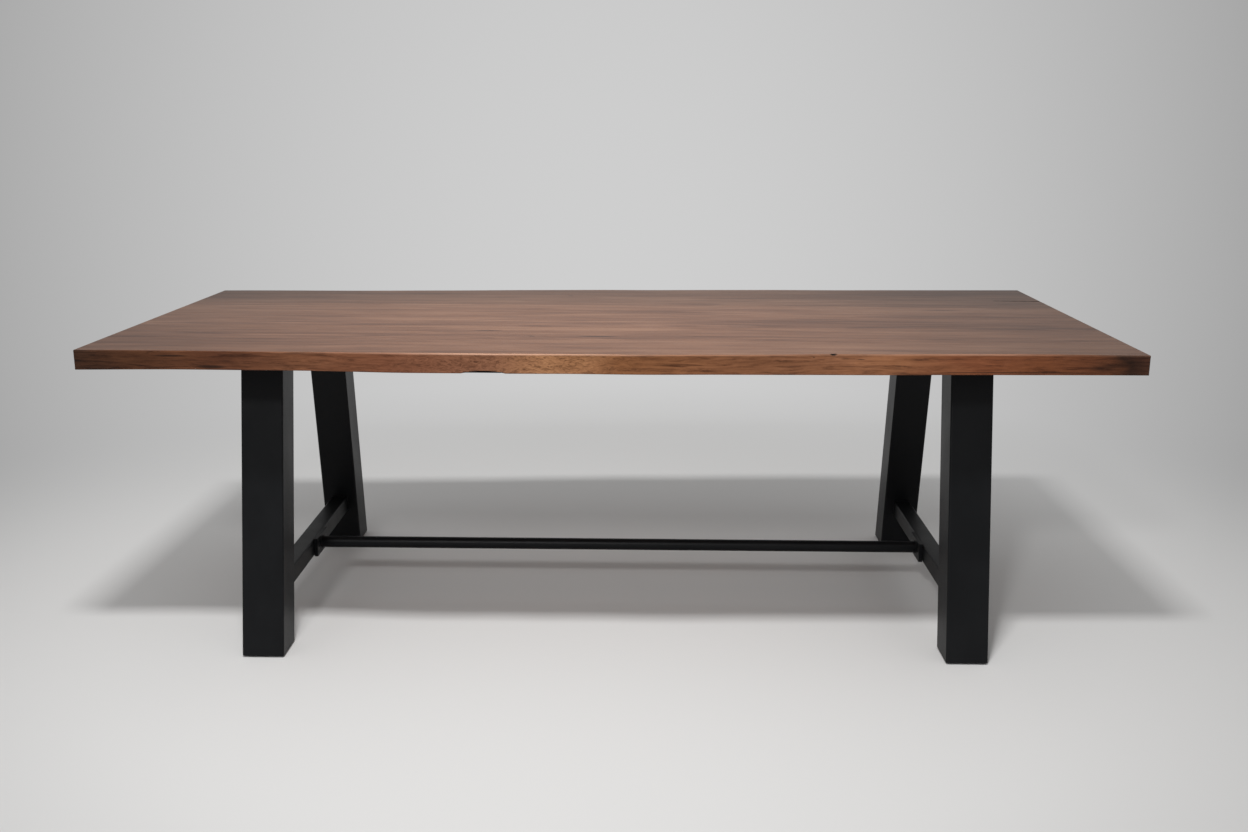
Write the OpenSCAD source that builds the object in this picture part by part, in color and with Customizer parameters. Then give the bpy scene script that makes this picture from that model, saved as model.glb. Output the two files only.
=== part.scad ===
// Long dining table: a glued wooden top with natural long edges, on two leaning
// steel frames that a long low round stretcher ties together. Millimetres, +Z up.
// The origin is on the floor, under the middle of the top. The front is -Y.

/* [Top] */
// Length of the top, between its sawn ends
top_length = 2400; // [2200:10:2600]
// Height of the upper surface above the floor
top_height = 760; // [730:5:780]
// Thickness of the boards
board_t = 45; // [35:1:60]
// Distance between two glue lines
board_pitch = 190; // [180:1:200]
// Distance from the middle line to the front edge, at the left end
front_left = 555; // [520:1:580]
// Distance from the middle line to the front edge, at the right end
front_right = 528; // [500:1:560]
// Distance from the middle line to the back edge, at the left end
back_left = 440; // [420:1:480]
// Distance from the middle line to the back edge, at the right end
back_right = 563; // [520:1:580]
// How far the left end leans along the length, from front to back
left_skew = 24; // [0:1:30]
// How far the right end leans along the length, from front to back
right_skew = 12; // [0:1:20]
// How far the front edge bows out at mid-length
front_bow = 20; // [0:1:30]
// How far the back edge bows out at mid-length
back_bow = 8; // [0:1:20]
// Height of the small waves along both natural edges
edge_ripple = 2.5; // [0:0.5:5]

/* [End check] */
// Length of the filled check in the right end
check_length = 135; // [80:5:200]
// Width of the check at the end of the board
check_width = 11; // [6:1:20]
// Distance of the check behind the middle line
check_y = 322; // [300:1:340]
// Depth of the resin in the check
check_depth = 22; // [10:1:30]

/* [Frames] */
// Width of the square leg tube
leg_w = 100; // [80:5:120]
// Wall of the leg tube
leg_wall = 3; // [2:0.5:6]
// Outside corner radius of the leg tube
leg_r = 5; // [4:0.5:8]
// Distance from the middle of the table to the middle of each frame
frame_x = 842; // [750:1:900]
// Distance from the middle of a frame to the middle of a leg, at the floor
foot_y = 433; // [425:1:450]
// Lean of the legs towards each other, in degrees
lean = 10.6; // [8:0.1:11]
// Gap between the end of a leg and the floor
leg_gap = 5; // [4:0.5:8]
// Thickness of the plate across the top of a frame
top_plate_t = 8; // [6:1:12]
// Length of the plate across the top of a frame
top_plate_l = 700; // [690:5:720]
// Thickness of the plate in the lower end of a leg
foot_plate_t = 6; // [5:1:10]
// Size of the square cross rail tube
rail_w = 45; // [40:5:60]
// Wall of the rail and stretcher tubes
rail_wall = 2.5; // [2:0.5:4]
// Height of the middle of the rails and the stretcher
rail_z = 130; // [110:1:200]

/* [Stretcher] */
// Diameter of the round stretcher tube
bar_d = 31; // [25:1:40]
// Thickness of the plate at each end of the stretcher
end_plate_t = 10; // [8:1:12]
// Length of the end plate, across the table
end_plate_l = 110; // [100:5:130]
// Height of the end plate
end_plate_h = 50; // [45:1:60]
// Distance between the two bolts in an end plate
end_bolt_pitch = 76; // [70:1:90]

/* [Fasteners] */
// Thread diameter of the stretcher bolts
end_bolt_d = 10; // [8:1:12]
// Thread diameter of the top bolts
top_bolt_d = 8; // [6:1:10]
// Thread diameter of the glide studs
stud_d = 12; // [10:1:12]
// Length of a glide stud above its disc
stud_l = 42; // [35:1:60]
// Diameter of a glide's nylon pad
pad_d = 50; // [40:1:60]
// Thickness of a glide's nylon pad
pad_t = 2.4; // [2:0.1:3]

/* [Hidden] */
$fn = 48;

// The two sides of the table, as signs along X and Y
LEFT = -1;
RIGHT = 1;
FRONT = -1;
BACK = 1;

// Shared colours
walnut_tone = [0.36, 0.20, 0.13];
steel_tone = [0.05, 0.05, 0.055];
zinc_tone = [0.55, 0.56, 0.58];
nylon_tone = [0.08, 0.08, 0.08];

// Levels
underside = top_height - board_t;
leg_top = underside - top_plate_t;

// The natural edges are drawn from this many straight stretches
edge_steps = 40;
half_l = top_length / 2;
// Glue lines, from front to back
glue_lines = [for (i = [-2:2]) i * board_pitch];

// Distance of a leg's middle line from the middle of the table, at height z
function leg_y(z) = foot_y - z * tan(lean);
// Half of a leg's depth, measured level
leg_half_depth = leg_w / 2 / cos(lean);
// Distance of a leg's inner face from the middle of the table, at height z
function leg_inner_y(z) = leg_y(z) - leg_half_depth;

// Position along the top, from -1 at the left end to 1 at the right
function along(i) = 2 * i / edge_steps - 1;
function mix(a, b, u) = a + (b - a) * (u + 1) / 2;
// Bow of a natural edge, and the small waves on it; both fade out at the ends
function bow(u) = pow(1 - u * u, 2);
function ripple(u) = edge_ripple * (1 - u * u) * (sin(900 * u + 20) + 0.6 * sin(1530 * u)) / 1.6;
function front_y(u) = -mix(front_left, front_right, u) - front_bow * bow(u) - ripple(u);
function back_y(u) = mix(back_left, back_right, u) + back_bow * bow(u) + ripple(-u);
// The ends lean, so a point's X depends on where it lies between front and back
function left_x(y) = -half_l + left_skew * (y + front_left) / (front_left + back_left);
function right_x(y) = half_l - right_skew * (back_right - y) / (front_right + back_right);
function edge_x(u, y) = mix(left_x(y), right_x(y), u);
front_points = [for (i = [0:edge_steps]) let (u = along(i), y = front_y(u)) [edge_x(u, y), y]];
back_points = [for (i = [edge_steps:-1:0]) let (u = along(i), y = back_y(u)) [edge_x(u, y), y]];

// Top bolts: two rows along each frame's plate; the outer ones sit in slots
top_bolt_x = 30;
top_bolt_inner_y = 95;
top_bolt_outer_y = 220;
top_slot_travel = 10;
top_hole_d = top_bolt_d + 1;
top_bolt_ys = [-top_bolt_outer_y, -top_bolt_inner_y, top_bolt_inner_y, top_bolt_outer_y];
insert_d = 12;
insert_l = 25;
insert_bore_l = 30;
top_washer_d = 24;
top_washer_t = 2;
top_head_h = 5.3;
top_head_d = 13;
thread_slack = 0.05;

// Stretcher bolts, through the end plate and into rivet nuts in the rail's inner wall
rail_inner_x = frame_x - rail_w / 2;
plate_inner_x = rail_inner_x - end_plate_t;
end_hole_d = end_bolt_d + 1;
end_sink_d = 20;
end_socket_af = 6;
end_socket_depth = 3.6;
end_bolt_l = 30;
rivet_d = 13;
rivet_bulge_d = 17;
rivet_bulge_l = 5;
rivet_l = 18;

// Glides
disc_d = 44;
disc_gap = 0.3;
disc_t = leg_gap - pad_t - disc_gap;
foot_nut_h = 10;
foot_nut_af = 18;
stud_clearance = 0.05;
glide_y = leg_y(leg_gap);

// Rounded rectangle with exact corner arcs
module round_rect(w, h, r) {
    square([w - 2 * r, h], center = true);
    square([w, h - 2 * r], center = true);
    for (x = [-1, 1], y = [-1, 1])
        translate([x * (w / 2 - r), y * (h / 2 - r)]) circle(r);
}

// Section of a rectangular tube
module tube_section(w, h, wall, r) {
    difference() {
        round_rect(w, h, r);
        round_rect(w - 2 * wall, h - 2 * wall, max(r - wall, 1));
    }
}

// A cylinder from one point along +Z or -Z
module rod(d, z0, z1) {
    translate([0, 0, z0]) cylinder(d = d, h = z1 - z0);
}

// Everything between two heights
module between(z0, z1) {
    translate([-top_length, -top_length, z0]) cube([2 * top_length, 2 * top_length, z1 - z0]);
}

// Hexagon prism by its width across the flats
module hex(af, h) {
    cylinder(d = af / cos(30), h = h, $fn = 6);
}

// ---- Top ----

module top_outline() {
    polygon(concat(front_points, back_points));
}

module check_outline(slack) {
    mouth = check_width / 2 - slack;
    tip = right_x(check_y) - check_length + 3 * slack;
    polygon([
        [tip, check_y + 2],
        [tip + 0.45 * check_length, check_y - mouth * 0.55],
        [half_l - right_skew * 0.3, check_y - mouth],
        [half_l - right_skew * 0.3, check_y + mouth],
        [tip + 0.5 * check_length, check_y + mouth * 0.7]
    ]);
}

module insert_holes() {
    for (sx = [LEFT, RIGHT], dx = [-top_bolt_x, top_bolt_x], y = top_bolt_ys)
        translate([sx * frame_x + dx, y, underside - 1]) cylinder(d = insert_d, h = insert_bore_l + 1);
}

// The part of the top between two lines across it
module board(y0, y1) {
    difference() {
        translate([0, 0, underside]) linear_extrude(board_t) intersection() {
            top_outline();
            translate([-top_length, y0]) square([2 * top_length, y1 - y0]);
        }
        if (y0 < top_bolt_outer_y && y1 > -top_bolt_outer_y) insert_holes();
        if (y0 < check_y && y1 > check_y)
            translate([0, 0, top_height - check_depth]) linear_extrude(check_depth + 1)
                check_outline(0);
    }
}

module board_front() {
    color(walnut_tone) board(-top_length, glue_lines[0]);
}

module board_2() {
    color(walnut_tone * 1.1) board(glue_lines[0], glue_lines[1]);
}

module board_3() {
    color(walnut_tone * 0.95) board(glue_lines[1], glue_lines[2]);
}

module board_4() {
    color(walnut_tone * 1.05) board(glue_lines[2], glue_lines[3]);
}

module board_5() {
    color(walnut_tone * 0.9) board(glue_lines[3], glue_lines[4]);
}

module board_back() {
    color(walnut_tone) board(glue_lines[4], top_length);
}

// Black resin that fills the check, as flush as the surface around it
module check_resin() {
    color([0.03, 0.02, 0.02]) intersection() {
        translate([0, 0, top_height - check_depth]) linear_extrude(check_depth)
            check_outline(0.02);
        translate([0, 0, underside]) linear_extrude(board_t) top_outline();
    }
}

// ---- Steel frames ----

// Places a leg's own axis so that it leans towards the middle of the table
module lean_leg(sx, sy) {
    translate([sx * frame_x, sy * foot_y, 0]) rotate([sy * lean, 0, 0])
        translate([0, 0, -leg_w]) children();
}

// Square tube, cut level at the foot and under the top plate
module leg(sx, sy) {
    color(steel_tone) intersection() {
        lean_leg(sx, sy) linear_extrude(top_height + 2 * leg_w)
            tube_section(leg_w, leg_w, leg_wall, leg_r);
        between(leg_gap, leg_top);
    }
}

// Plate inside the lower end of a leg, drilled for the glide's stud
module foot_plate(sx, sy) {
    bore = leg_w - 2 * leg_wall;
    color(steel_tone) difference() {
        intersection() {
            lean_leg(sx, sy) linear_extrude(2 * leg_w)
                round_rect(bore - 0.1, bore - 0.1, max(leg_r - leg_wall, 1));
            between(leg_gap, leg_gap + foot_plate_t);
        }
        translate([sx * frame_x, sy * glide_y, 0])
            rod(stud_d + 2 * stud_clearance, 0, 2 * leg_w);
    }
}

// Hexagonal weld nuts on the foot plates, one for each stud
module foot_weld_nuts() {
    color(zinc_tone) for (sx = [LEFT, RIGHT], sy = [FRONT, BACK])
        translate([sx * frame_x, sy * glide_y, leg_gap + foot_plate_t]) difference() {
            hex(foot_nut_af, foot_nut_h);
            rod(stud_d + 2 * stud_clearance, -1, foot_nut_h + 1);
        }
}

// Square tube between the two legs of a frame, with its ends cut to their lean
module cross_rail(sx) {
    half_h = rail_w / 2;
    low_y = leg_inner_y(rail_z - half_h);
    high_y = leg_inner_y(rail_z + half_h);
    color(steel_tone) difference() {
        intersection() {
            translate([sx * frame_x, low_y, rail_z]) rotate([90, 0, 0])
                linear_extrude(2 * low_y) tube_section(rail_w, rail_w, rail_wall, 3.5);
            translate([sx * frame_x + rail_w, 0, rail_z]) rotate([90, 0, -90])
                linear_extrude(2 * rail_w) polygon([
                    [-low_y, -half_h], [low_y, -half_h], [high_y, half_h], [-high_y, half_h]
                ]);
        }
        rivet_axes(sx) rod(rivet_d, -end_bolt_l, rail_w / 2);
    }
}

// Flat plate across a frame, under the top; the outer holes are slots across the grain
module top_plate(sx) {
    color(steel_tone) translate([sx * frame_x, 0, leg_top]) difference() {
        linear_extrude(top_plate_t) round_rect(leg_w, top_plate_l, 4);
        for (dx = [-top_bolt_x, top_bolt_x]) {
            for (y = [-top_bolt_inner_y, top_bolt_inner_y])
                translate([dx, y, 0]) rod(top_hole_d, -1, top_plate_t + 1);
            for (y = [-top_bolt_outer_y, top_bolt_outer_y])
                translate([dx, y, -1]) linear_extrude(top_plate_t + 2) slot_outline();
        }
    }
}

// Slot along Y, with round ends
module slot_outline() {
    half = top_slot_travel / 2;
    square([top_hole_d, top_slot_travel], center = true);
    for (y = [-half, half]) translate([0, y]) circle(d = top_hole_d);
}

// ---- Stretcher ----

// Places children on a frame's two bolt axes: local +Z points away from the table's middle
// and local zero is the rail's inner face
module rivet_axes(sx) {
    for (y = [-end_bolt_pitch / 2, end_bolt_pitch / 2])
        translate([sx * rail_inner_x, y, rail_z]) rotate([0, sx * 90, 0]) children();
}

module stretcher_bar() {
    color(steel_tone) translate([-plate_inner_x, 0, rail_z]) rotate([90, 0, 90])
        linear_extrude(2 * plate_inner_x) difference() {
            circle(d = bar_d);
            circle(d = bar_d - 2 * rail_wall);
        }
}

// A cone that narrows at 45 degrees from one diameter to another, along local +Z
module sink(d0, d1) {
    cylinder(d1 = d0, d2 = d1, h = (d0 - d1) / 2);
}

module end_plate(sx) {
    color(steel_tone) difference() {
        translate([sx * (plate_inner_x + end_plate_t / 2), 0, rail_z]) rotate([90, 0, 90])
            linear_extrude(end_plate_t, center = true) round_rect(end_plate_l, end_plate_h, 3);
        rivet_axes(sx) {
            rod(end_hole_d, -2 * end_plate_t, end_plate_t);
            translate([0, 0, -end_plate_t]) sink(end_sink_d, end_hole_d);
        }
    }
}

// Countersunk bolts with a hexagon socket; each thread is a plain cylinder
module stretcher_bolts() {
    shank_d = end_bolt_d - 2 * thread_slack;
    color(steel_tone) for (sx = [LEFT, RIGHT]) rivet_axes(sx) translate([0, 0, -end_plate_t])
        difference() {
            union() {
                sink(end_sink_d - 2 * thread_slack, shank_d);
                rod(shank_d, 1, end_bolt_l);
            }
            translate([0, 0, -1]) hex(end_socket_af, end_socket_depth + 1);
        }
}

// Blind rivet nuts, upset behind the rail's inner wall
module rivet_nuts() {
    bore_r = end_bolt_d / 2;
    body_r = rivet_d / 2 - thread_slack;
    bulge_r = rivet_bulge_d / 2;
    back = rail_wall + thread_slack;
    color(zinc_tone) for (sx = [LEFT, RIGHT]) rivet_axes(sx) rotate_extrude() polygon([
        [bore_r, 0], [body_r, 0], [body_r, back], [bulge_r, back],
        [body_r, back + rivet_bulge_l], [body_r, rivet_l], [bore_r, rivet_l]
    ]);
}

// ---- Fasteners of the top ----

// Places children at each top bolt, on the lower face of its plate
module top_bolt_axes() {
    for (sx = [LEFT, RIGHT], dx = [-top_bolt_x, top_bolt_x], y = top_bolt_ys)
        translate([sx * frame_x + dx, y, leg_top]) children();
}

module top_bolts() {
    head_z = -top_washer_t;
    color(zinc_tone) top_bolt_axes() {
        translate([0, 0, head_z - top_head_h]) hex(top_head_d, top_head_h);
        rod(top_bolt_d - 2 * thread_slack, head_z - 1, top_plate_t + insert_l);
    }
}

module top_washers() {
    color(zinc_tone) top_bolt_axes() difference() {
        rod(top_washer_d, -top_washer_t, 0);
        rod(top_bolt_d + 0.5, -2 * top_washer_t, top_washer_t);
    }
}

// Threaded steel inserts, screwed up into the boards
module threaded_inserts() {
    color(zinc_tone) top_bolt_axes() difference() {
        rod(insert_d - 2 * thread_slack, top_plate_t + 0.2, top_plate_t + insert_l);
        rod(top_bolt_d, 0, 2 * insert_l);
    }
}

// ---- Levelling glides ----

// Steel disc and threaded stud, in one piece; it screws down out of the leg
module glide_stud(sx, sy) {
    color(zinc_tone) translate([sx * frame_x, sy * glide_y, 0]) {
        rod(disc_d, pad_t, pad_t + disc_t);
        rod(stud_d, pad_t + 1, pad_t + disc_t + stud_l);
    }
}

// Nylon pad, with a small bevel round its lower rim
module glide_pad(sx, sy) {
    bevel = 0.6;
    r = pad_d / 2;
    color(nylon_tone) translate([sx * frame_x, sy * glide_y, 0]) rotate_extrude() polygon([
        [0, 0], [r - bevel, 0], [r, bevel], [r, pad_t], [0, pad_t]
    ]);
}

board_front();
board_2();
board_3();
board_4();
board_5();
board_back();
check_resin();
leg(LEFT, FRONT);  // leg_front_left
leg(LEFT, BACK);  // leg_back_left
leg(RIGHT, FRONT);  // leg_front_right
leg(RIGHT, BACK);  // leg_back_right
cross_rail(LEFT);  // cross_rail_left
cross_rail(RIGHT);  // cross_rail_right
top_plate(LEFT);  // top_plate_left
top_plate(RIGHT);  // top_plate_right
foot_plate(LEFT, FRONT);  // foot_plate_front_left
foot_plate(LEFT, BACK);  // foot_plate_back_left
foot_plate(RIGHT, FRONT);  // foot_plate_front_right
foot_plate(RIGHT, BACK);  // foot_plate_back_right
foot_weld_nuts();
stretcher_bar();
end_plate(LEFT);  // end_plate_left
end_plate(RIGHT);  // end_plate_right
stretcher_bolts();
rivet_nuts();
top_bolts();
top_washers();
threaded_inserts();
glide_stud(LEFT, FRONT);  // glide_stud_front_left
glide_stud(LEFT, BACK);  // glide_stud_back_left
glide_stud(RIGHT, FRONT);  // glide_stud_front_right
glide_stud(RIGHT, BACK);  // glide_stud_back_right
glide_pad(LEFT, FRONT);  // glide_pad_front_left
glide_pad(LEFT, BACK);  // glide_pad_back_left
glide_pad(RIGHT, FRONT);  // glide_pad_front_right
glide_pad(RIGHT, BACK);  // glide_pad_back_right
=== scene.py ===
"""Looks of a long dining table: six edge-glued boards with natural long edges, on two leaning
steel frames that a long low stretcher ties together. Metres, +Z up, the front is -Y."""

import logging
import math
from dataclasses import dataclass, field
from enum import Enum
from typing import Sequence

import bmesh
import bpy
import numpy as np
from bpy.types import Material, Mesh, Node, NodeSocket, NodeTree, Object
from mathutils import Matrix, Vector, noise


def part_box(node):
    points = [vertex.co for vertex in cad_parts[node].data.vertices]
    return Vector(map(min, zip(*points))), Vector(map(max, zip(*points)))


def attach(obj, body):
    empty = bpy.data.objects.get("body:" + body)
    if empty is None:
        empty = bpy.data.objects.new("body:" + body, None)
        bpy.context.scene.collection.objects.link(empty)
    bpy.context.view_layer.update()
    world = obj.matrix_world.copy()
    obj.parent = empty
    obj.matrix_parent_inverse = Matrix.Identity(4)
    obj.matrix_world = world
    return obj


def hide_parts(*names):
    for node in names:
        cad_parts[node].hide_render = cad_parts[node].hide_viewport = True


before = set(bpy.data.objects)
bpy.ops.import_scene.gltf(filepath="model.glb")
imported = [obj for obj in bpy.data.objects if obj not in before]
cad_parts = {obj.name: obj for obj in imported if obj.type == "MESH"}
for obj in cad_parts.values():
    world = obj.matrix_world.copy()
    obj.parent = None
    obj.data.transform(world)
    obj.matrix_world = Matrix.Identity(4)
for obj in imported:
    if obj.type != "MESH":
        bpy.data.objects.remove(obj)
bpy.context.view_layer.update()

LOG = logging.getLogger("dining_table")
MM = 0.001
MERGE, SPECK = 0.01 * MM, 0.004 * MM
TURN_ANGLES = [math.tau * k / 48 for k in range(48)]


class Side(Enum):
    """The two ends of the table."""

    LEFT = -1
    RIGHT = 1


class Edge(Enum):
    """The two long edges of the table."""

    FRONT = -1
    BACK = 1


class Slot(Enum):
    """The record's finishes."""

    BOARDS = "top_boards"
    RESIN = "resin_fill"
    COAT = "powder_coated_steel"
    BLACK = "black_hardware"
    ZINC = "zinc_hardware"
    NYLON = "nylon_pads"


TABLE_BODY = "table"
Path3 = Sequence[tuple[float, float, float]]


# ---- Node trees -------------------------------------------------------------------------------


class Bench:
    """Adds and wires the nodes of one tree."""

    def __init__(self, tree: NodeTree) -> None:
        """Keeps the tree that the nodes go into."""
        self.tree = tree

    def add(self, kind: str, feeds: dict | None = None, **settings: object) -> Node:
        """Adds one node and feeds its inputs.

        Args:
            kind: Blender's name for the type of node.
            feeds: what each input gets, a socket or a plain value, by the input's name or place.
            settings: the node's own choices, set before its inputs.

        Returns:
            The new node.
        """
        node = self.tree.nodes.new(kind)
        for key, value in settings.items():
            setattr(node, key, value)
        for key, value in (feeds or {}).items():
            if isinstance(value, NodeSocket):
                self.tree.links.new(value, node.inputs[key])
            else:
                node.inputs[key].default_value = value
        return node

    def reckon(self, how: str, *terms: object) -> NodeSocket:
        """Adds a math node that works on one to three numbers or sockets."""
        return self.add("ShaderNodeMath", dict(enumerate(terms)), operation=how).outputs[0]

    def vector(self, how: str, *terms: object) -> NodeSocket:
        """Adds a vector math node that works on one to three vectors or sockets."""
        return self.add("ShaderNodeVectorMath", dict(enumerate(terms)), operation=how).outputs[0]

    def plus(self, *terms: object) -> NodeSocket:
        """Adds two numbers or sockets."""
        return self.reckon("ADD", *terms)

    def less(self, *terms: object) -> NodeSocket:
        """Takes the second number or socket from the first."""
        return self.reckon("SUBTRACT", *terms)

    def times(self, *terms: object) -> NodeSocket:
        """Multiplies two numbers or sockets."""
        return self.reckon("MULTIPLY", *terms)

    def scaled(self, *terms: object) -> NodeSocket:
        """Multiplies the first two of three numbers or sockets and adds the third."""
        return self.reckon("MULTIPLY_ADD", *terms)

    def parts(self, vector: NodeSocket) -> list[NodeSocket]:
        """Splits a vector into its X, Y and Z."""
        return list(self.add("ShaderNodeSeparateXYZ", {0: vector}).outputs)

    def join(self, x: object, y: object, z: object) -> NodeSocket:
        """Makes a vector of three numbers or sockets."""
        return self.add("ShaderNodeCombineXYZ", {0: x, 1: y, 2: z}).outputs[0]

    def ramp(self, factor: NodeSocket, stops: Sequence[tuple[float, Sequence[float] | float]],
             smooth: bool = True) -> NodeSocket:
        """Adds a colour ramp.

        Args:
            factor: what runs along the ramp.
            stops: (place, colour) pairs, a colour in linear red, green and blue, or one grey.
            smooth: whether the colours ease into each other.

        Returns:
            The colour's socket.
        """
        node = self.add("ShaderNodeValToRGB", {0: factor})
        band = node.color_ramp
        band.interpolation = "EASE" if smooth else "LINEAR"
        while len(band.elements) < len(stops):
            band.elements.new(0.5)
        for element, (place, colour) in zip(band.elements, stops):
            element.position = place
            grey = isinstance(colour, float)
            element.color = (*((colour,) * 3 if grey else colour[:3]), 1.0)
        return node.outputs[0]


class Recipe(Bench):
    """A geometry tree with named sizes, which ends in real faces that carry one material."""

    def __init__(self, name: str) -> None:
        """Starts the tree, with its stock geometry going in and its result coming out.

        Args:
            name: what the tree is called.
        """
        super().__init__(bpy.data.node_groups.new(name, "GeometryNodeTree"))
        face = self.tree.interface
        face.new_socket("Result", in_out="OUTPUT", socket_type="NodeSocketGeometry")
        face.new_socket("Stock", in_out="INPUT", socket_type="NodeSocketGeometry")
        self.entry = self.tree.nodes.new("NodeGroupInput")
        self.material = self.take("Finish", "Material")

    def take(self, name: str, kind: str = "Float") -> NodeSocket:
        """Adds a named input of one type, and gives the socket that its value comes from."""
        self.tree.interface.new_socket(name, in_out="INPUT", socket_type="NodeSocket" + kind)
        return self.entry.outputs[name]

    def together(self, *geometries: NodeSocket) -> NodeSocket:
        """Joins geometries into one.

        Args:
            geometries: what to join, in order.

        Returns:
            The joined geometry's socket.
        """
        node = self.add("GeometryNodeJoinGeometry")
        for geometry in geometries:
            self.tree.links.new(geometry, node.inputs[0])
        return node.outputs[0]

    def close(self, geometry: NodeSocket, crease: float = 32.0) -> None:
        """Ends the tree: smooth faces with sharp creases, real instead of instanced, dressed.

        Args:
            geometry: the geometry to end with.
            crease: the angle in degrees past which an edge stays sharp.
        """
        real = self.add("GeometryNodeRealizeInstances", {0: geometry}).outputs[0]
        smooth = self.add("GeometryNodeSetShadeSmooth", {0: real}, domain="FACE").outputs[0]
        angle = self.add("GeometryNodeInputMeshEdgeAngle").outputs[0]
        sharp = self.add("FunctionNodeCompare", {0: angle, 1: math.radians(crease)})
        creased = self.add("GeometryNodeSetShadeSmooth",
                           {0: smooth, 1: sharp.outputs[0], 2: False}, domain="EDGE")
        dressed = self.add("GeometryNodeSetMaterial",
                           {"Geometry": creased.outputs[0], "Material": self.material})
        leaving = self.tree.nodes.new("NodeGroupOutput")
        self.tree.links.new(dressed.outputs[0], leaving.inputs[0])

    def make(self, sizes: dict, stock: Mesh | None = None) -> Mesh:
        """Runs the tree and keeps its result as a plain mesh.

        Args:
            sizes: the value of each input, by its name.
            stock: the geometry that the tree works on, if it needs any.

        Returns:
            The finished mesh, with no modifier left.
        """
        carrier = place_object("stock", stock or bpy.data.meshes.new("stock"))
        modifier = carrier.modifiers.new("recipe", "NODES")
        modifier.node_group = self.tree
        for item in self.tree.interface.items_tree:
            if item.in_out == "INPUT" and item.name in sizes:
                modifier[item.identifier] = sizes[item.name]
        carrier.modifiers.new("faces", "WEIGHTED_NORMAL").keep_sharp = True
        return settle(carrier)


# ---- Meshes and pieces ------------------------------------------------------------------------


def place_object(name: str, mesh: Mesh) -> Object:
    """Makes an object of a mesh and links it to the scene, at the origin."""
    made = bpy.data.objects.new(name, mesh)
    bpy.context.scene.collection.objects.link(made)
    return made


def settle(carrier: Object) -> Mesh:
    """Turns an object with its modifiers into one plain mesh, and removes the object.

    Args:
        carrier: the object to evaluate.

    Returns:
        The evaluated mesh.
    """
    depsgraph = bpy.context.evaluated_depsgraph_get()
    mesh = bpy.data.meshes.new_from_object(carrier.evaluated_get(depsgraph))
    bpy.data.objects.remove(carrier)
    return mesh


def fit_piece(name: str, mesh: Mesh, replaced: Sequence[str],
              body: str = TABLE_BODY, finish: Material | None = None) -> None:
    """Makes one finished piece and ties it to the model's frame.

    Args:
        name: the piece's name.
        mesh: its mesh, already in place.
        replaced: the model's nodes that it stands for.
        body: the body that it moves with.
        finish: its material, if the mesh has none yet.
    """
    mesh.name = name
    if finish:
        mesh.materials.append(finish)
    piece = place_object(name, mesh)
    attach(piece, body)
    if replaced:
        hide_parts(*replaced)
    LOG.info("%s: %d faces on %s", name, len(mesh.polygons), body)


def mesh_of(points: Sequence, faces: Sequence) -> Mesh:
    """Makes a clean closed mesh: doubles merged, then faces turned outwards.

    Args:
        points: the corner points.
        faces: the faces, as tuples of point numbers.

    Returns:
        The mesh.
    """
    mesh = bpy.data.meshes.new("made")
    mesh.from_pydata([tuple(p) for p in points], [], [tuple(f) for f in faces])
    return clean(mesh)


def clean(mesh: Mesh) -> Mesh:
    """Merges doubled points, drops faces without area, and turns all faces outwards.

    Args:
        mesh: the mesh to clean.

    Returns:
        The same mesh.
    """
    work = bmesh.new()
    work.from_mesh(mesh)
    bmesh.ops.remove_doubles(work, verts=work.verts, dist=SPECK)
    bmesh.ops.dissolve_degenerate(work, edges=work.edges, dist=SPECK)
    bmesh.ops.recalc_face_normals(work, faces=work.faces)
    work.to_mesh(mesh)
    work.free()
    return mesh


def soften(mesh: Mesh, bevel: float = 0.0, crease: float = 32.0) -> Mesh:
    """Gives a mesh worn corners and even shading on its flats.

    Args:
        mesh: a closed mesh.
        bevel: the width of its worn corners; 0 leaves them.
        crease: the angle in degrees past which an edge is sharp.

    Returns:
        The finished mesh.
    """
    carrier = place_object("stock", mesh)
    mesh.shade_smooth()
    if bevel:
        worn = carrier.modifiers.new("worn", "BEVEL")
        worn.width, worn.segments, worn.angle_limit = bevel, 3, math.radians(crease)
        worn.use_clamp_overlap = True
    else:
        mesh.set_sharp_from_angle(angle=math.radians(crease))
    carrier.modifiers.new("faces", "WEIGHTED_NORMAL").keep_sharp = True
    return settle(carrier)


def joined(meshes: Sequence[Mesh]) -> Mesh:
    """Joins meshes that are already in place into one, keeping their own normals and material.

    Args:
        meshes: the meshes to join.

    Returns:
        One mesh.
    """
    objects = [place_object("part", mesh) for mesh in meshes]
    with bpy.context.temp_override(active_object=objects[0], selected_editable_objects=objects):
        bpy.ops.object.join()
    mesh = objects[0].data
    bpy.data.objects.remove(objects[0])
    return mesh


def skin(rows: int, around: int, ring: bool = False, capped: bool = False) -> list[tuple]:
    """Lists the faces between rows of points that each go once round.

    Args:
        rows: the number of rows.
        around: the number of points in a row.
        ring: whether the last row joins the first.
        capped: whether the first and last rows are filled in.

    Returns:
        The faces, as tuples of point numbers.
    """
    faces = [(i * around + k, i * around + (k + 1) % around,
              (i + 1) % rows * around + (k + 1) % around, (i + 1) % rows * around + k)
             for i in range(rows if ring else rows - 1) for k in range(around)]
    if capped:
        faces += [tuple(range(around)), tuple(range((rows - 1) * around, rows * around))]
    return faces


def turned(profile: Sequence[tuple[float, float]], place: tuple[float, float] = (0.0, 0.0),
           ring: bool = False) -> Mesh:
    """Turns a profile about an upright axis, as on a lathe.

    Args:
        profile: (radius, height) pairs, from one pole to the other or all round a ring.
        place: where the axis stands, as X and Y.
        ring: whether the profile is closed.

    Returns:
        A closed mesh.
    """
    points = [(place[0] + r * math.cos(a), place[1] + r * math.sin(a), z)
              for r, z in profile for a in TURN_ANGLES]
    return mesh_of(points, skin(len(profile), len(TURN_ANGLES), ring))


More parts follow.
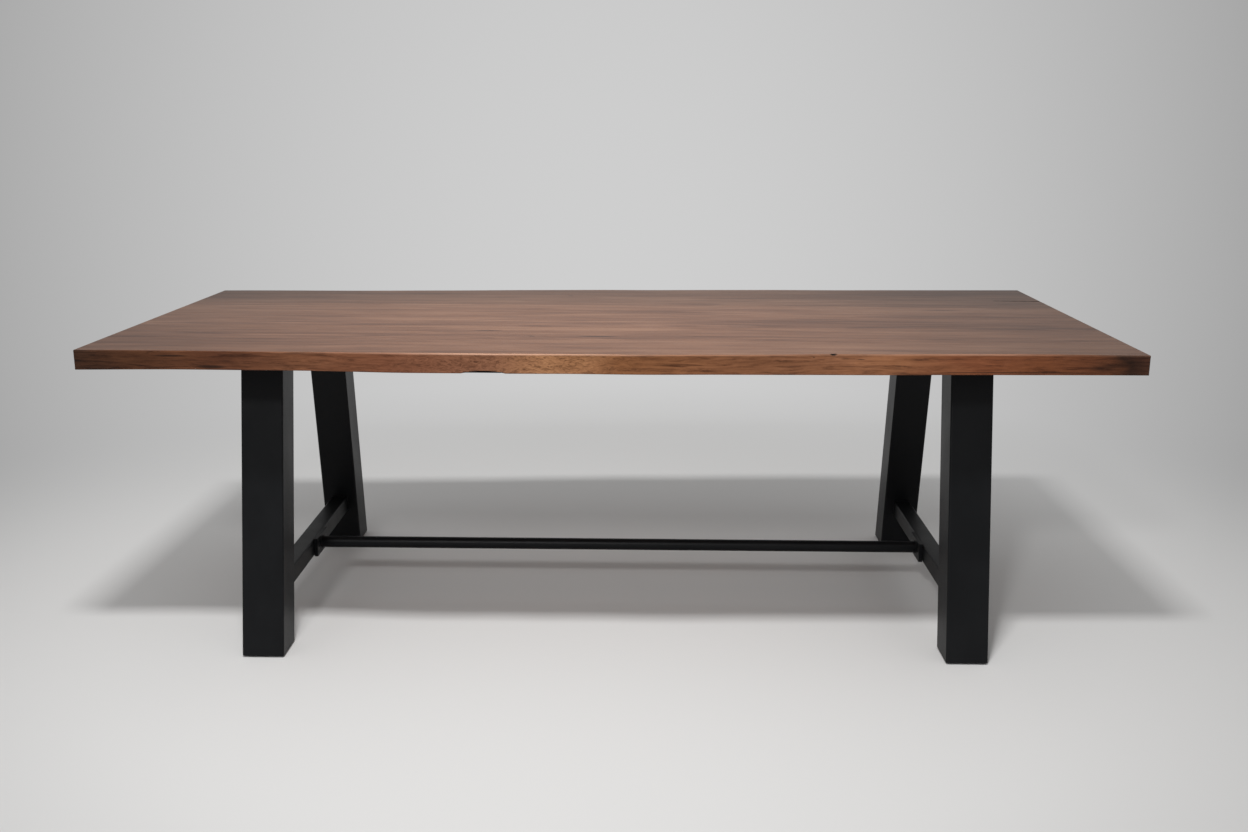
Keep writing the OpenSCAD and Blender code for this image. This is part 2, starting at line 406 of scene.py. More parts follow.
def lofted(sections: np.ndarray) -> Mesh:
    """Skins a row of closed sections and caps both ends.

    Args:
        sections: an array of stations by points by three coordinates.

    Returns:
        A mesh with one point for each of the array's points, in its order.
    """
    mesh = bpy.data.meshes.new("loft")
    mesh.from_pydata(sections.reshape(-1, 3).tolist(), [], skin(*sections.shape[:2], capped=True))
    return mesh


def copy_of_node(node: str, bevel: float) -> Mesh:
    """Takes a plate's shape from the model, and gives it worn corners.

    Args:
        node: the model's node.
        bevel: the width of its worn corners.

    Returns:
        The finished mesh.
    """
    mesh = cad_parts[node].data.copy()
    mesh.materials.clear()
    clean(mesh)
    work = bmesh.new()
    work.from_mesh(mesh)
    bmesh.ops.dissolve_limit(work, angle_limit=math.radians(1), verts=work.verts,
                             edges=work.edges)
    work.to_mesh(mesh)
    work.free()
    if "custom_normal" in mesh.attributes:
        mesh.attributes.remove(mesh.attributes["custom_normal"])
    return soften(mesh, bevel)


def islands(node: str) -> list[tuple[Vector, Vector]]:
    """Finds the loose solids of a node that repeats one shape, such as a set of bolts.

    Args:
        node: the model's node.

    Returns:
        The lowest and highest corner of each solid.
    """
    work = bmesh.new()
    work.from_mesh(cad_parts[node].data)
    bmesh.ops.remove_doubles(work, verts=work.verts, dist=MERGE)
    left, boxes = set(work.verts), []
    while left:
        edge_of_search = [left.pop()]
        seen = [edge_of_search[0].co.copy()]
        while edge_of_search:
            for edge in edge_of_search.pop().link_edges:
                for vertex in edge.verts:
                    if vertex in left:
                        left.discard(vertex)
                        edge_of_search.append(vertex)
                        seen.append(vertex.co.copy())
        spread = np.array(seen)
        boxes.append((Vector(spread.min(0)), Vector(spread.max(0))))
    work.free()
    return sorted(boxes, key=lambda box: tuple(round(v, 4) for v in box[0]))


# ---- Finishes ---------------------------------------------------------------------------------


class FinishBench(Bench):
    """Lays out one procedural material on object coordinates."""

    def __init__(self, name: str) -> None:
        """Starts a material with one Principled shader.

        Args:
            name: what the material is called.
        """
        self.material = bpy.data.materials.new(name)
        self.material.use_nodes = True
        super().__init__(self.material.node_tree)
        self.shader = self.tree.nodes["Principled BSDF"]
        self.place = self.add("ShaderNodeTexCoord").outputs["Object"]

    def attribute(self, name: str) -> NodeSocket:
        """Reads a number that the mesh carries."""
        return self.add("ShaderNodeAttribute", attribute_name=name).outputs["Fac"]

    def grain(self, scale: tuple[float, float, float], offset: float = 0.0, detail: float = 2.0,
              roughness: float = 0.5, twist: float = 0.0) -> Node:
        """Adds noise that is stretched by its own scale along each axis.

        Args:
            scale: waves per metre along X, Y and Z.
            offset: how far along the pattern this use starts.
            detail: the number of finer octaves.
            roughness: the share of each finer octave.
            twist: how far the noise distorts itself.

        Returns:
            The noise node.
        """
        mapped = self.add("ShaderNodeMapping", {"Vector": self.place, "Scale": scale,
                                                "Location": (offset, offset * 0.7, offset * 1.3)})
        return self.add("ShaderNodeTexNoise",
                        {"Vector": mapped.outputs[0], "Scale": 1.0, "Detail": detail,
                         "Roughness": roughness, "Distortion": twist})

    def mix(self, factor: object, under: object, over: object, how: str = "MIX") -> NodeSocket:
        """Lays one colour over another, by a share."""
        return self.add("ShaderNodeMix", {0: factor, 6: under, 7: over}, data_type="RGBA",
                        blend_type=how, clamp_result=False).outputs[2]

    def between(self, value: object, low: float, high: float, start: float = 0.0,
                end: float = 1.0) -> NodeSocket:
        """Runs smoothly from start to end while a value goes from low to high."""
        return self.add("ShaderNodeMapRange", {0: value, 1: low, 2: high, 3: start, 4: end},
                        interpolation_type="SMOOTHSTEP").outputs[0]

    def spot(self, centre: tuple[float, float], reach: tuple[float, float], first: NodeSocket,
             second: NodeSocket) -> NodeSocket:
        """Makes a soft oval spot on two coordinates.

        Args:
            centre: its place on each coordinate.
            reach: its half size along each.
            first: the first coordinate.
            second: the second one.

        Returns:
            A socket that is 1 at the centre and 0 outside the oval.
        """
        across = [self.reckon("DIVIDE", self.less(axis, c), r)
                  for axis, c, r in zip((first, second), centre, reach)]
        return self.between(self.plus(*(self.times(a, a) for a in across)), 0.0, 1.0, 1.0, 0.0)

    def bump(self, *layers: tuple[NodeSocket, float, float]) -> None:
        """Stacks bumps on the shader.

        Args:
            layers: (height, strength, distance) of each.
        """
        normal = None
        for height, strength, distance in layers:
            feeds = {"Height": height, "Strength": strength, "Distance": distance}
            if normal is not None:
                feeds["Normal"] = normal
            normal = self.add("ShaderNodeBump", feeds).outputs[0]
        self.tree.links.new(normal, self.shader.inputs["Normal"])

    def feed(self, **inputs: object) -> None:
        """Sets or links the shader's inputs; an underscore in a name stands for a space."""
        for key, value in inputs.items():
            socket = self.shader.inputs[key.replace("_", " ")]
            if isinstance(value, NodeSocket):
                self.tree.links.new(value, socket)
            else:
                socket.default_value = value


Colour = tuple[float, float, float, float]


def shade(red: int, green: int, blue: int) -> Colour:
    """Turns a colour on the 0 to 255 display scale into the opaque linear one of shaders."""
    return (*(((c / 255 + 0.055) / 1.055) ** 2.4 for c in (red, green, blue)), 1.0)


FIGURE_TONES = ((0.10, shade(62, 38, 27)), (0.36, shade(108, 73, 55)),
                (0.56, shade(134, 95, 73)), (0.86, shade(164, 123, 98)))
SAWN_TONES = ((0.15, shade(92, 62, 43)), (0.8, shade(44, 27, 19)))
EDGE_TONES = (
    (0.00, shade(54, 33, 21)), (0.05, shade(76, 46, 28)), (0.11, shade(97, 59, 37)),
    (0.14, shade(90, 53, 34)), (0.21, shade(117, 75, 51)), (0.29, shade(110, 68, 47)),
    (0.38, shade(119, 80, 58)), (0.445, shade(150, 107, 74)), (0.50, shade(119, 77, 47)),
    (0.60, shade(117, 76, 50)), (0.66, shade(112, 73, 49)), (0.75, shade(121, 79, 52)),
    (0.83, shade(106, 61, 37)), (0.90, shade(103, 59, 34)), (0.95, shade(92, 53, 32)),
    (0.972, shade(46, 27, 17)), (1.00, shade(68, 41, 28)))
STRIPE_TONES = ((0.30, (0.20, 0.15, 0.12)), (0.5, (0.74, 0.70, 0.67)), (0.68, 1.0))
# Shares of the front arris's painted highlight, along the table from left to right.
ARRIS_HIGHLIGHT_SHARES = ((0.16, 0.0), (0.30, 0.35), (0.36, 0.95), (0.46, 0.8), (0.52, 0.3),
                 (0.70, 0.15), (0.84, 0.5), (0.93, 0.1))
PORE, KNOT = shade(44, 27, 20), shade(40, 22, 15)
# The second colour is painted shade, for the insides of the edge's voids and of the check.
HAIRLINE, HOLLOW_SHADE = shade(30, 17, 11), shade(14, 9, 7)


@dataclass(frozen=True)
class WalnutFinish:
    """Satin lacquer on one board of dark walnut."""

    name: str
    start: float
    heart: tuple[float, float]
    ring_pitch: float = 8.5 * MM
    tone: float = 1.0
    warmth: float = 0.0
    knots: tuple[tuple[float, float, float], ...] = ()
    dark_streaks: tuple[tuple[float, float, float], ...] = ()
    light_streaks: tuple[tuple[float, float, float], ...] = ()
    hairlines: tuple[tuple[float, float, float, float], ...] = ()
    edge: Edge | None = None
    streak_width: float = 9 * MM
    gloss: tuple[float, float] = (0.34, 0.42)
    # How dark the painted shade gets at the table's ends and towards its back.
    end_painted_shade: float = 0.66
    back_painted_shade: float = 0.74
    table_length: float = 2.4

    def make(self) -> Material:
        """Builds the material: rings round the heart, streaks, pores, knots, and natural edges.

        Returns:
            The material.
        """
        bench = FinishBench(self.name)
        x, y, z = bench.parts(bench.place)
        ring, knot_core = self._rings(bench, x, y)
        streak = bench.grain((3.4, 34, 34), self.start + 3, 5.0, 0.62, 0.3).outputs[0]
        broad = bench.grain((0.8, 6, 6), self.start + 5, 2.0).outputs[0]
        fibre = bench.grain((16, 620, 620), self.start + 7, 3.0, 0.6).outputs[0]
        pores = bench.between(bench.grain((55, 1150, 1150), self.start + 9, 1.0).outputs[0],
                              0.62, 0.72)
        value = 0.54
        for layer, share in ((streak, 0.85), (broad, 0.6), (fibre, 0.22)):
            value = bench.scaled(bench.less(layer, 0.5), share, value)
        value = bench.scaled(ring, -0.09, value)
        for marks, push in ((self.dark_streaks, -0.3), (self.light_streaks, 0.22)):
            for x0, x1, line in marks:
                mark = bench.spot(((x0 + x1) / 2, line), ((x1 - x0) * 0.62, self.streak_width),
                                  x, y)
                value = bench.scaled(mark, push, value)
        colour = bench.ramp(value, FIGURE_TONES, smooth=False)
        colour = bench.mix(bench.times(pores, 0.4), colour, PORE)
        tint = (self.tone * (1 + self.warmth), self.tone, self.tone * (1 - self.warmth), 1)
        colour = bench.mix(1.0, colour, tint, "MULTIPLY")
        # Painted shade: the top darkens towards both ends and towards the back, where less light
        # falls.
        reach = bench.reckon("ABSOLUTE", bench.plus(x, 0.1))
        painted_shade = bench.times(bench.between(reach, 0.3, 1.25, 1.0, self.end_painted_shade),
                           bench.between(y, 0.05, 0.45, 1.0, self.back_painted_shade))
        colour = bench.mix(1.0, colour, bench.join(painted_shade, painted_shade, painted_shade), "MULTIPLY")
        colour = bench.mix(bench.times(knot_core, 0.85), colour, KNOT)
        facing = bench.parts(bench.add("ShaderNodeTexCoord").outputs["Normal"])[0]
        end_grain = bench.between(bench.reckon("ABSOLUTE", facing), 0.55, 0.85)
        sawn = bench.ramp(bench.plus(bench.times(ring, 0.5), bench.times(fibre, 0.7)), SAWN_TONES)
        colour = bench.mix(end_grain, colour, sawn)
        roughness = bench.between(fibre, 0.3, 0.7, *self.gloss)
        layers = [(fibre, 0.25, 0.12 * MM), (ring, 0.12, 0.15 * MM)]
        if self.edge is None:
            # Painted shade on the check's walls and floor, and a darker band round its mouth.
            colour = bench.mix(bench.attribute("hollow"), colour, HOLLOW_SHADE)
        else:
            colour, face, rough = self._natural(bench, colour, x, z)
            roughness = bench.scaled(face, 0.14, roughness)
            layers.append((rough, 0.4, 0.7 * MM))
        bench.feed(Base_Color=colour, Roughness=roughness, Specular_IOR_Level=0.16)
        bench.bump(*layers)
        return bench.material

    def _rings(self, bench: FinishBench, x: NodeSocket,
               y: NodeSocket) -> tuple[NodeSocket, NodeSocket | float]:
        """Draws the year rings round the board's heart, which swell past each knot.

        Args:
            bench: the material's bench.
            x: the coordinate along the board.
            y: the coordinate across it.

        Returns:
            How much a point lies in late wood, and how much in a knot.
        """
        drift = bench.grain((0.75, 2.2, 2.2), self.start, 3.0).outputs["Color"]
        drifted = bench.parts(bench.vector("ADD", bench.place, bench.vector(
            "MULTIPLY", drift, (0, 0.17, 0.09))))
        off = [bench.less(axis, heart) for axis, heart in zip(drifted[1:], self.heart)]
        radius = bench.reckon("SQRT", bench.plus(*(bench.times(a, a) for a in off)))
        knot_core = 0.0
        for kx, ky, size in self.knots:
            swell = bench.spot((kx, ky), (size * 6, size * 3), x, y)
            radius = bench.plus(radius, bench.times(swell, size))
            core = bench.spot((kx, ky), (size * 1.5, size), x, y)
            knot_core = bench.reckon("MAXIMUM", knot_core, core)
        rings = bench.reckon("FRACT", bench.reckon("DIVIDE", radius, self.ring_pitch))
        return bench.times(bench.between(rings, 0.25, 0.9),
                           bench.between(rings, 0.9, 1.0, 1.0, 0.0)), knot_core

    def _natural(self, bench: FinishBench, planed: NodeSocket, x: NodeSocket,
                 z: NodeSocket) -> tuple[NodeSocket, ...]:
        """Colours the natural edge, which runs from olive-brown ends to a pale figured middle.

        Args:
            bench: the material's bench.
            planed: the colour of the planed faces.
            x: the coordinate along the edge.
            z: the height.

        Returns:
            The whole colour, how natural a point is, and the height of its roughness.
        """
        natural, hollow, rim = (bench.attribute(name) for name in ("natural", "hollow", "rim"))
        wander = bench.grain((7, 0, 30), self.start + 11, 2.0, 0.5, 0.4).outputs[0]
        along = bench.plus(bench.times(x, 1 / self.table_length), 0.5)
        along = bench.scaled(bench.less(wander, 0.5), 0.06, along)
        tone = bench.ramp(along, EDGE_TONES, smooth=False)
        lines = bench.grain((11, 0, 130), self.start + 13, 5.0, 0.72, 0.9).outputs[0]
        swirl = bench.grain((48, 48, 150), self.start + 15, 5.0, 0.72, 1.6).outputs[0]
        figured = bench.spot((-0.22, 0.0), (0.36, 9.0), x, z)
        figure = bench.add("ShaderNodeMix", {0: figured, 2: lines, 3: swirl},
                           data_type="FLOAT").outputs[0]
        stripes = bench.ramp(figure, STRIPE_TONES, smooth=False)
        stripes = bench.mix(1.0, stripes, (1.32, 1.36, 1.4, 1), "MULTIPLY")
        edge = bench.mix(1.0, tone, stripes, "MULTIPLY")
        for mark in self.hairlines:
            line = bench.spot(mark[:2], mark[2:], x, z)
            edge = bench.mix(bench.times(line, 0.8), edge, HAIRLINE)
        # The front arris gets a pale painted highlight in patches along the table; the back arris
        # and the planed rim beside it get a darker line.
        if self.edge is Edge.FRONT:
            arris = shade(188, 146, 122)
            scuff_and_arris_mark = bench.times(rim, bench.ramp(along, ARRIS_HIGHLIGHT_SHARES, smooth=False))
        else:
            arris = shade(34, 22, 17)
            scuff_and_arris_mark = bench.times(rim, 0.8)
            planed = bench.mix(scuff_and_arris_mark, planed, arris)
        # Painted shade in the edge's voids, laid over the arris marks.
        edge = bench.mix(hollow, bench.mix(scuff_and_arris_mark, edge, arris), HOLLOW_SHADE)
        return bench.mix(natural, planed, edge), natural, figure


@dataclass(frozen=True)
class ResinFinish:
    """Black resin, poured into a check and sunk a little as it cured."""

    name: str = "black_resin"

    def make(self) -> Material:
        """Builds the material: near black, with small bubbles and flow marks.

        Returns:
            The material.
        """
        bench = FinishBench(self.name)
        bubbles = bench.between(bench.grain((900, 900, 900), 2.0, 1.0).outputs[0], 0.66, 0.74)
        marks = bench.grain((60, 900, 900), 4.0, 2.0).outputs[0]
        bench.feed(Base_Color=bench.mix(bubbles, shade(20, 14, 12), shade(40, 30, 25)),
                   Roughness=bench.between(marks, 0.3, 0.7, 0.28, 0.42))
        bench.bump((bubbles, 0.25, 0.2 * MM), (marks, 0.1, 0.05 * MM))
        return bench.material


@dataclass(frozen=True)
class SteelFinish:
    """One surface of the steelwork: a colour, its gloss, and the texture of its coat."""

    name: str
    colour: Colour
    scuff_and_arris_mark: Colour
    gloss: tuple[float, float]
    texture: float
    metallic: float = 0.0
    sheen: float = 0.5
    peel: float = 420.0

    def make(self) -> Material:
        """Builds the material: fine peel, faint patches and light scuffs.

        Returns:
            The material.
        """
        bench = FinishBench(self.name)
        patches = bench.grain((9, 9, 5), 1.0, 4.0, 0.6).outputs[0]
        peel = bench.grain((self.peel,) * 3, 3.0, 2.0, 0.55).outputs[0]
        scuffs = bench.between(bench.grain((70, 70, 16), 6.0, 5.0, 0.7).outputs[0], 0.60, 0.78)
        colour = bench.mix(bench.between(patches, 0.35, 0.7), self.colour,
                           tuple(0.55 * a + 0.45 * b for a, b in zip(self.colour, self.scuff_and_arris_mark)))
        colour = bench.mix(bench.times(scuffs, 0.35), colour, self.scuff_and_arris_mark)
        speck = bench.plus(bench.times(patches, 0.6), bench.times(peel, 0.4))
        bench.feed(Base_Color=colour, Metallic=self.metallic, Specular_IOR_Level=self.sheen,
                   Roughness=bench.between(speck, 0.3, 0.7, *self.gloss))
        bench.bump((peel, self.texture, 0.12 * MM), (patches, 0.03, 0.5 * MM))
        return bench.material


@dataclass(frozen=True)
class NylonFinish:
    """Moulded black nylon, scratched by the floor."""

    name: str = "black_nylon"

    def make(self) -> Material:
        """Builds the material: matt, with fine scratches and a little floor dust.

        Returns:
            The material.
        """
        bench = FinishBench(self.name)
        scratches = bench.grain((1400, 90, 300), 2.0, 3.0, 0.6).outputs[0]
        dust = bench.between(bench.grain((60, 60, 60), 5.0, 3.0).outputs[0], 0.5, 0.75)
        bench.feed(Base_Color=bench.mix(bench.times(dust, 0.4), shade(26, 26, 27),
                                        shade(84, 81, 76)),
                   Roughness=bench.between(scratches, 0.3, 0.7, 0.50, 0.66))
        bench.bump((scratches, 0.2, 0.1 * MM))
        return bench.material


POWDER_COAT = SteelFinish("powder_coat", shade(12, 13, 15), shade(21, 22, 24), (0.38, 0.48), 0.10,
                          sheen=0.16)
BLACK_OXIDE = SteelFinish("black_oxide", shade(30, 30, 32), shade(62, 62, 64), (0.34, 0.46), 0.12,
                          metallic=0.6)
ZINC_PLATE = SteelFinish("zinc_plate", shade(176, 178, 180), shade(206, 205, 200), (0.26, 0.40),
                         0.10, metallic=1.0)


# ---- The top ----------------------------------------------------------------------------------


class SlabOutline:
    """The plan of the top, read from the model: natural long edges and slanting sawn ends."""

    def __init__(self, front_board: str, back_board: str) -> None:
        """Reads both natural edges from the two outer boards."""
        self.low, self.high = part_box(front_board)[0].z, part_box(front_board)[1].z
        self.lines = {edge: self._natural_points(node, edge)
                      for edge, node in ((Edge.FRONT, front_board), (Edge.BACK, back_board))}

    def _natural_points(self, node: str, edge: Edge) -> np.ndarray:
        """Gives the points of a board's natural edge from left to right.

        Args:
            node: the outer board's node.
            edge: which long edge it has.

        Returns:
            An array of X and Y.
        """
        points = np.array([v.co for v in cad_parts[node].data.vertices])
        inner = points[:, 1].max() if edge is Edge.FRONT else points[:, 1].min()
        found = points[(np.abs(points[:, 1] - inner) > 1 * MM) & (points[:, 2] > self.high - MM)]
        return np.unique(np.round(found[:, :2], 6), axis=0)

    def edge_y(self, edge: Edge, x: np.ndarray) -> np.ndarray:
        """Runs a smooth line through an edge's points.

        Args:
            edge: the long edge.
            x: where to read it.

        Returns:
            The edge's Y at each X.
        """
        xs, ys = self.lines[edge].T
        slope = np.gradient(ys, xs)
        i = np.clip(np.searchsorted(xs, x) - 1, 0, len(xs) - 2)
        step = xs[i + 1] - xs[i]
        t = np.clip((x - xs[i]) / step, 0, 1)
        return ((2 * t**3 - 3 * t**2 + 1) * ys[i] + (t**3 - 2 * t**2 + t) * step * slope[i]
                + (3 * t**2 - 2 * t**3) * ys[i + 1] + (t**3 - t**2) * step * slope[i + 1])

    def end_x(self, side: Side, y: np.ndarray | float) -> np.ndarray:
        """Gives a sawn end's X at each Y, on the line between the natural edges' end points.

        Args:
            side: the end.
            y: where across the top.

        Returns:
            The end's X.
        """
        pick = 0 if side is Side.LEFT else -1
        (x0, y0), (x1, y1) = (self.lines[edge][pick] for edge in Edge)
        return x0 + (x1 - x0) * (np.asarray(y) - y0) / (y1 - y0)


@dataclass
class Row:
    """One lengthwise row of points on a board, and what its surface is like there."""

    y: np.ndarray | float
    z: np.ndarray | float
    natural: float = 0.0
    hollow: np.ndarray | float = 0.0
    rim: float = 0.0


@dataclass
class Board:
    """One board of the top, its finish, and the number of stations along it."""

    node: str
    finish: WalnutFinish
    stations: int = 60


@dataclass
class Void:
    """A small hollow in the front natural edge: its middle, half length, half height, depth."""

    x: float
    height: float
    half: float
    tall: float
    deep: float


@dataclass
class BoardTop:
    """The six glued boards, and the resin in the check at the right end."""

    outline: SlabOutline
    boards: tuple[Board, ...]
    checked_board: str = "board_5"
    resin_node: str = "check_resin"
    glue_arris: float = 0.22 * MM
    end_round: float = 1.2 * MM
    corner_round: float = 2 * MM
    edge_round: float = 3.2 * MM
    rim_width: float = 7 * MM
    face_points: int = 21
    voids: tuple[Void, ...] = (Void(-0.290, 0.0, 0.050, 5.5 * MM, 9 * MM),
                               Void(0.485, 45 * MM, 0.008, 3.5 * MM, 5 * MM))
    check_y: float = 0.32
    check_depth: float = 14 * MM
    check_swell: float = 2 * MM
    check_lip: float = 1.2 * MM
    # The width of the darker band round the check's mouth.
    check_dark_band: float = 2.6 * MM
    resin_stations: int = 420
    resin_gap: float = 0.15 * MM
    resin_end: float = 0.24 * MM

    def build(self) -> None:
        """Builds every board and the resin."""
        for board in self.boards:
            self._board(board)
        self._resin()

    def _distances(self, count: int) -> np.ndarray:
        """Spaces stations from 0 to 1 along the top, closer together where the ends round off.

        Args:
            count: the number of stations between the rounded ends.

        Returns:
            The stations.
        """
        length = self.outline.end_x(Side.RIGHT, 0) - self.outline.end_x(Side.LEFT, 0)
        lip = np.array([0, 0.05, 0.17, 0.37, 0.62, 1.0, 1.6, 2.2]) * self.end_round / length
        inner = np.linspace(lip[-1], 1 - lip[-1], count)[1:-1]
        return np.concatenate([lip, inner, 1 - lip[::-1]])

    def _x(self, u: np.ndarray, y: np.ndarray | float) -> np.ndarray:
        """Gives X at a share of the way along the top, on the line through Y."""
        left, right = self.outline.end_x(Side.LEFT, y), self.outline.end_x(Side.RIGHT, y)
        return left + u * (right - left)

    def _taper(self, inset: np.ndarray | float, radius: float) -> np.ndarray:
        """Gives how far a corner of this radius falls away at a distance inside it."""
        gap = np.clip(radius - inset, 0, radius)
        return radius - np.sqrt(np.maximum(radius**2 - gap**2, 0))

    def _board(self, board: Board) -> None:
        """Lofts one board along its length, through its section's rows of points.

        Args:
            board: which board it is.
        """
        lo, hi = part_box(board.node)
        edge = board.finish.edge
        u = self._distances(board.stations)
        x_mid = self._x(u, (lo.y + hi.y) / 2)
        inset = np.minimum(u, 1 - u) * (x_mid[-1] - x_mid[0])
        rows = (self._natural(Edge.FRONT, u, inset)[::-1] if edge is Edge.FRONT
                else self._glued(lo.y, 1))
        rows += (self._natural(Edge.BACK, u, inset) if edge is Edge.BACK
                 else self._glued(hi.y, -1)[::-1])
        if board.node == self.checked_board:
            rows += self._notch(u)
        y, z, *marks = (np.stack([np.broadcast_to(getattr(row, name), len(u)) for row in rows],
                                 axis=1) for name in ("y", "z", "natural", "hollow", "rim"))
        drop = self._taper(inset, self.end_round)[:, None]
        z = np.clip(z, self.outline.low + drop, self.outline.high - drop)
        mesh = lofted(np.stack([self._x(u[:, None], y), y, z], axis=2))
        for name, values in zip(("natural", "hollow", "rim"), marks):
            mesh.attributes.new(name, "FLOAT", "POINT").data.foreach_set(
                "value", values.astype(np.float32).ravel())
        fit_piece(board.node + "_wood", soften(clean(mesh), crease=40),
                  [board.node], finish=board.finish.make())

    def _glued(self, y: float, inward: float) -> list[Row]:
        """Gives a glued side of the section, from the top down.

        Args:
            y: the glue line.
            inward: 1 if the wood lies towards the back, or -1.

        Returns:
            The rows.
        """
        a, top, under = self.glue_arris, self.outline.high, self.outline.low
        return [Row(y + inward * a, top), Row(y, top - a), Row(y, under + a),
                Row(y + inward * a, under)]

    def _natural(self, edge: Edge, u: np.ndarray, inset: np.ndarray) -> list[Row]:
        """Gives a natural side of the section, from the bottom up, with the planed rim above it.

        Args:
            edge: the long edge.
            u: the stations.
            inset: each station's distance from the nearer end.

        Returns:
            The rows.
        """
        heights = 0.5 - 0.5 * np.cos(np.linspace(0, 1, self.face_points) * math.pi)
        rows = [self._face_row(edge, u, inset, float(h)) for h in heights]
        below, above = (Row(row.y - edge.value * self.rim_width, row.z)
                        for row in (rows[0], rows[-1]))
        return [below, *rows, above]

    def _face_row(self, edge: Edge, u: np.ndarray, inset: np.ndarray, h: float) -> Row:
        """Gives one lengthwise row of points on a natural edge.

        Args:
            edge: the long edge.
            u: the stations.
            inset: each station's distance from the nearer end.
            h: the row's height, from 0 underneath to 1 on top.

        Returns:
            The row.
        """
        thick = self.outline.high - self.outline.low
        x = self._x(u, self.outline.edge_y(edge, self._x(u, 0.0)))
        height = h * thick
        depth = self._taper(thick - height, self.edge_round) * (
            1 + 0.35 * np.sin(x * 9.1 + edge.value))
        depth = depth + self._taper(height, 0.8 * self.edge_round)
        under, over = self._lean(edge, x)
        depth = depth + under * (1 - h) ** 1.2 + over * h**1.2
        fade = min(1.0, h * 8, (1 - h) * 8)
        depth = depth + np.array([self._relief(edge, px, height) for px in x]) * (
            0.25 + 0.75 * fade)
        # The hollow share says where the edge's voids get painted shade.
        hollow = np.zeros(len(u))
        for void in self.voids if edge is Edge.FRONT else ():
            share = np.clip(3 * (1 - ((x - void.x) / void.half) ** 2
                                 - ((height - void.height) / void.tall) ** 2), 0, 1)
            depth = depth + void.deep * share
            hollow = np.maximum(hollow, share)
        depth = depth + self._taper(inset, self.corner_round)
        y = self.outline.edge_y(edge, x) - edge.value * np.maximum(depth, 0)
        return Row(y, self.outline.low + height, float(h < 1), hollow,
                   float(np.clip((h - 0.90) / 0.06, 0, 1)))

    def _lean(self, edge: Edge, x: np.ndarray) -> tuple[np.ndarray, np.ndarray]:
        """Gives how far a natural edge is set back at its bottom and at its top.

        Args:
            edge: the long edge.
            x: where along it.

        Returns:
            The setback underneath and on top.
        """
        def hump(start: float, end: float, soft: float) -> np.ndarray:
            """Rises from 0 to 1 past start and falls back to 0 before end."""
            rise, fall = (np.clip(away / soft, 0, 1) for away in (x - start, end - x))
            return rise * rise * (3 - 2 * rise) * fall * fall * (3 - 2 * fall)

        if edge is Edge.FRONT:
            return 12 * MM * hump(-1.25, -0.45, 0.3), 13 * MM * hump(0.25, 1.18, 0.3)
        return 10 * MM * hump(0.1, 1.1, 0.4), 8 * MM * hump(-1.15, -0.2, 0.35)

    def _relief(self, edge: Edge, x: float, height: float) -> float:
        """Gives the depth of a natural edge's dents at one point, never below zero.

        Args:
            edge: the long edge.
            x: where along it.
            height: how far above the underside.

        Returns:
            The depth.
        """
        broad = noise.noise(Vector((x * 14, height * 30, 7.0 * edge.value))) * 1.3
        fine = noise.noise(Vector((x * 70, height * 110, 3.0 * edge.value))) * 0.55
        grain = noise.noise(Vector((x * 40, height * 900, 5.0))) * 0.16
        return max(0.0, (1.3 + broad + fine + grain)) * MM

    def _check_half(self, x: np.ndarray) -> tuple[np.ndarray, np.ndarray]:
        """Gives the middle line and the half width of the check along the top.

        Args:
            x: where along the top.

        Returns:
            The check's Y and half width.
        """
        lo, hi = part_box(self.resin_node)
        share = np.clip((x - lo.x) / (hi.x - lo.x), 0, 1)
        wave = (np.sin(x * 190) + np.sin(x * 83 + 1)) * 0.25 * MM
        middle = (lo.y + hi.y) / 2 + (1 - share) * self.check_swell + wave
        half = (hi.y - lo.y) / 2 * 0.92 * share**0.35 * (0.94 + 0.16 * np.sin(x * 240 + 2))
        return middle, half

    def _notch(self, u: np.ndarray) -> list[Row]:
        """Gives the rows of points that open the check in a board's upper face.

        Args:
            u: the stations.

        Returns:
            The rows, from back to front.
        """
        middle, half = self._check_half(self._x(u, self.check_y))
        top = self.outline.high
        deep = np.where(half > 0, top - self.check_depth, top)
        # Each row's last number is its share of painted shade: most on the check's floor and
        # walls, less on a darker band round its mouth.
        dark, mouth_dark = np.clip(half / MM, 0, 1), np.clip(half / MM, 0, 0.85)
        steps = ((half + self.check_dark_band, top, 0.0), (half + self.check_lip, top, mouth_dark * 0.7),
                 (half, top, mouth_dark), (half * 0.45, deep, dark))
        return ([Row(middle + reach, z, 0.0, tone) for reach, z, tone in steps]
                + [Row(middle - reach, z, 0.0, tone) for reach, z, tone in steps[::-1]])

    def _resin(self) -> None:
        """Pours the resin, which has sunk a little below the wood around it."""
        u = self._distances(self.resin_stations)
        x = self._x(u, self.check_y)
        middle, half = self._check_half(x)
        length, top = x[-1] - x[0], self.outline.high
        keep = (half > self.resin_gap) & ((1 - u) * length > self.resin_end)
        u, middle, half = u[keep], middle[keep], half[keep]
        floor = 0.97 * self.check_depth
        rows = [(0.9, 2.6 * MM), (0.5, 3.0 * MM), (0.0, 3.2 * MM), (-0.5, 3.0 * MM),
                (-0.9, 2.6 * MM), (-0.45, floor), (0.45, floor)]
        y = np.stack([middle + half * share for share, _ in rows], axis=1)
        fall = self._taper((1 - u) * length, self.end_round) + self.resin_gap
        z = np.minimum([[top - drop for _, drop in rows]], (top - fall)[:, None])
        mesh = clean(lofted(np.stack([self._x(u[:, None], y), y, z], axis=2)))
        fit_piece("check_resin_fill", soften(mesh, crease=50), [self.resin_node],
                  finish=ResinFinish().make())


# ---- Steel frames -----------------------------------------------------------------------------


CORNER_STEPS = 6


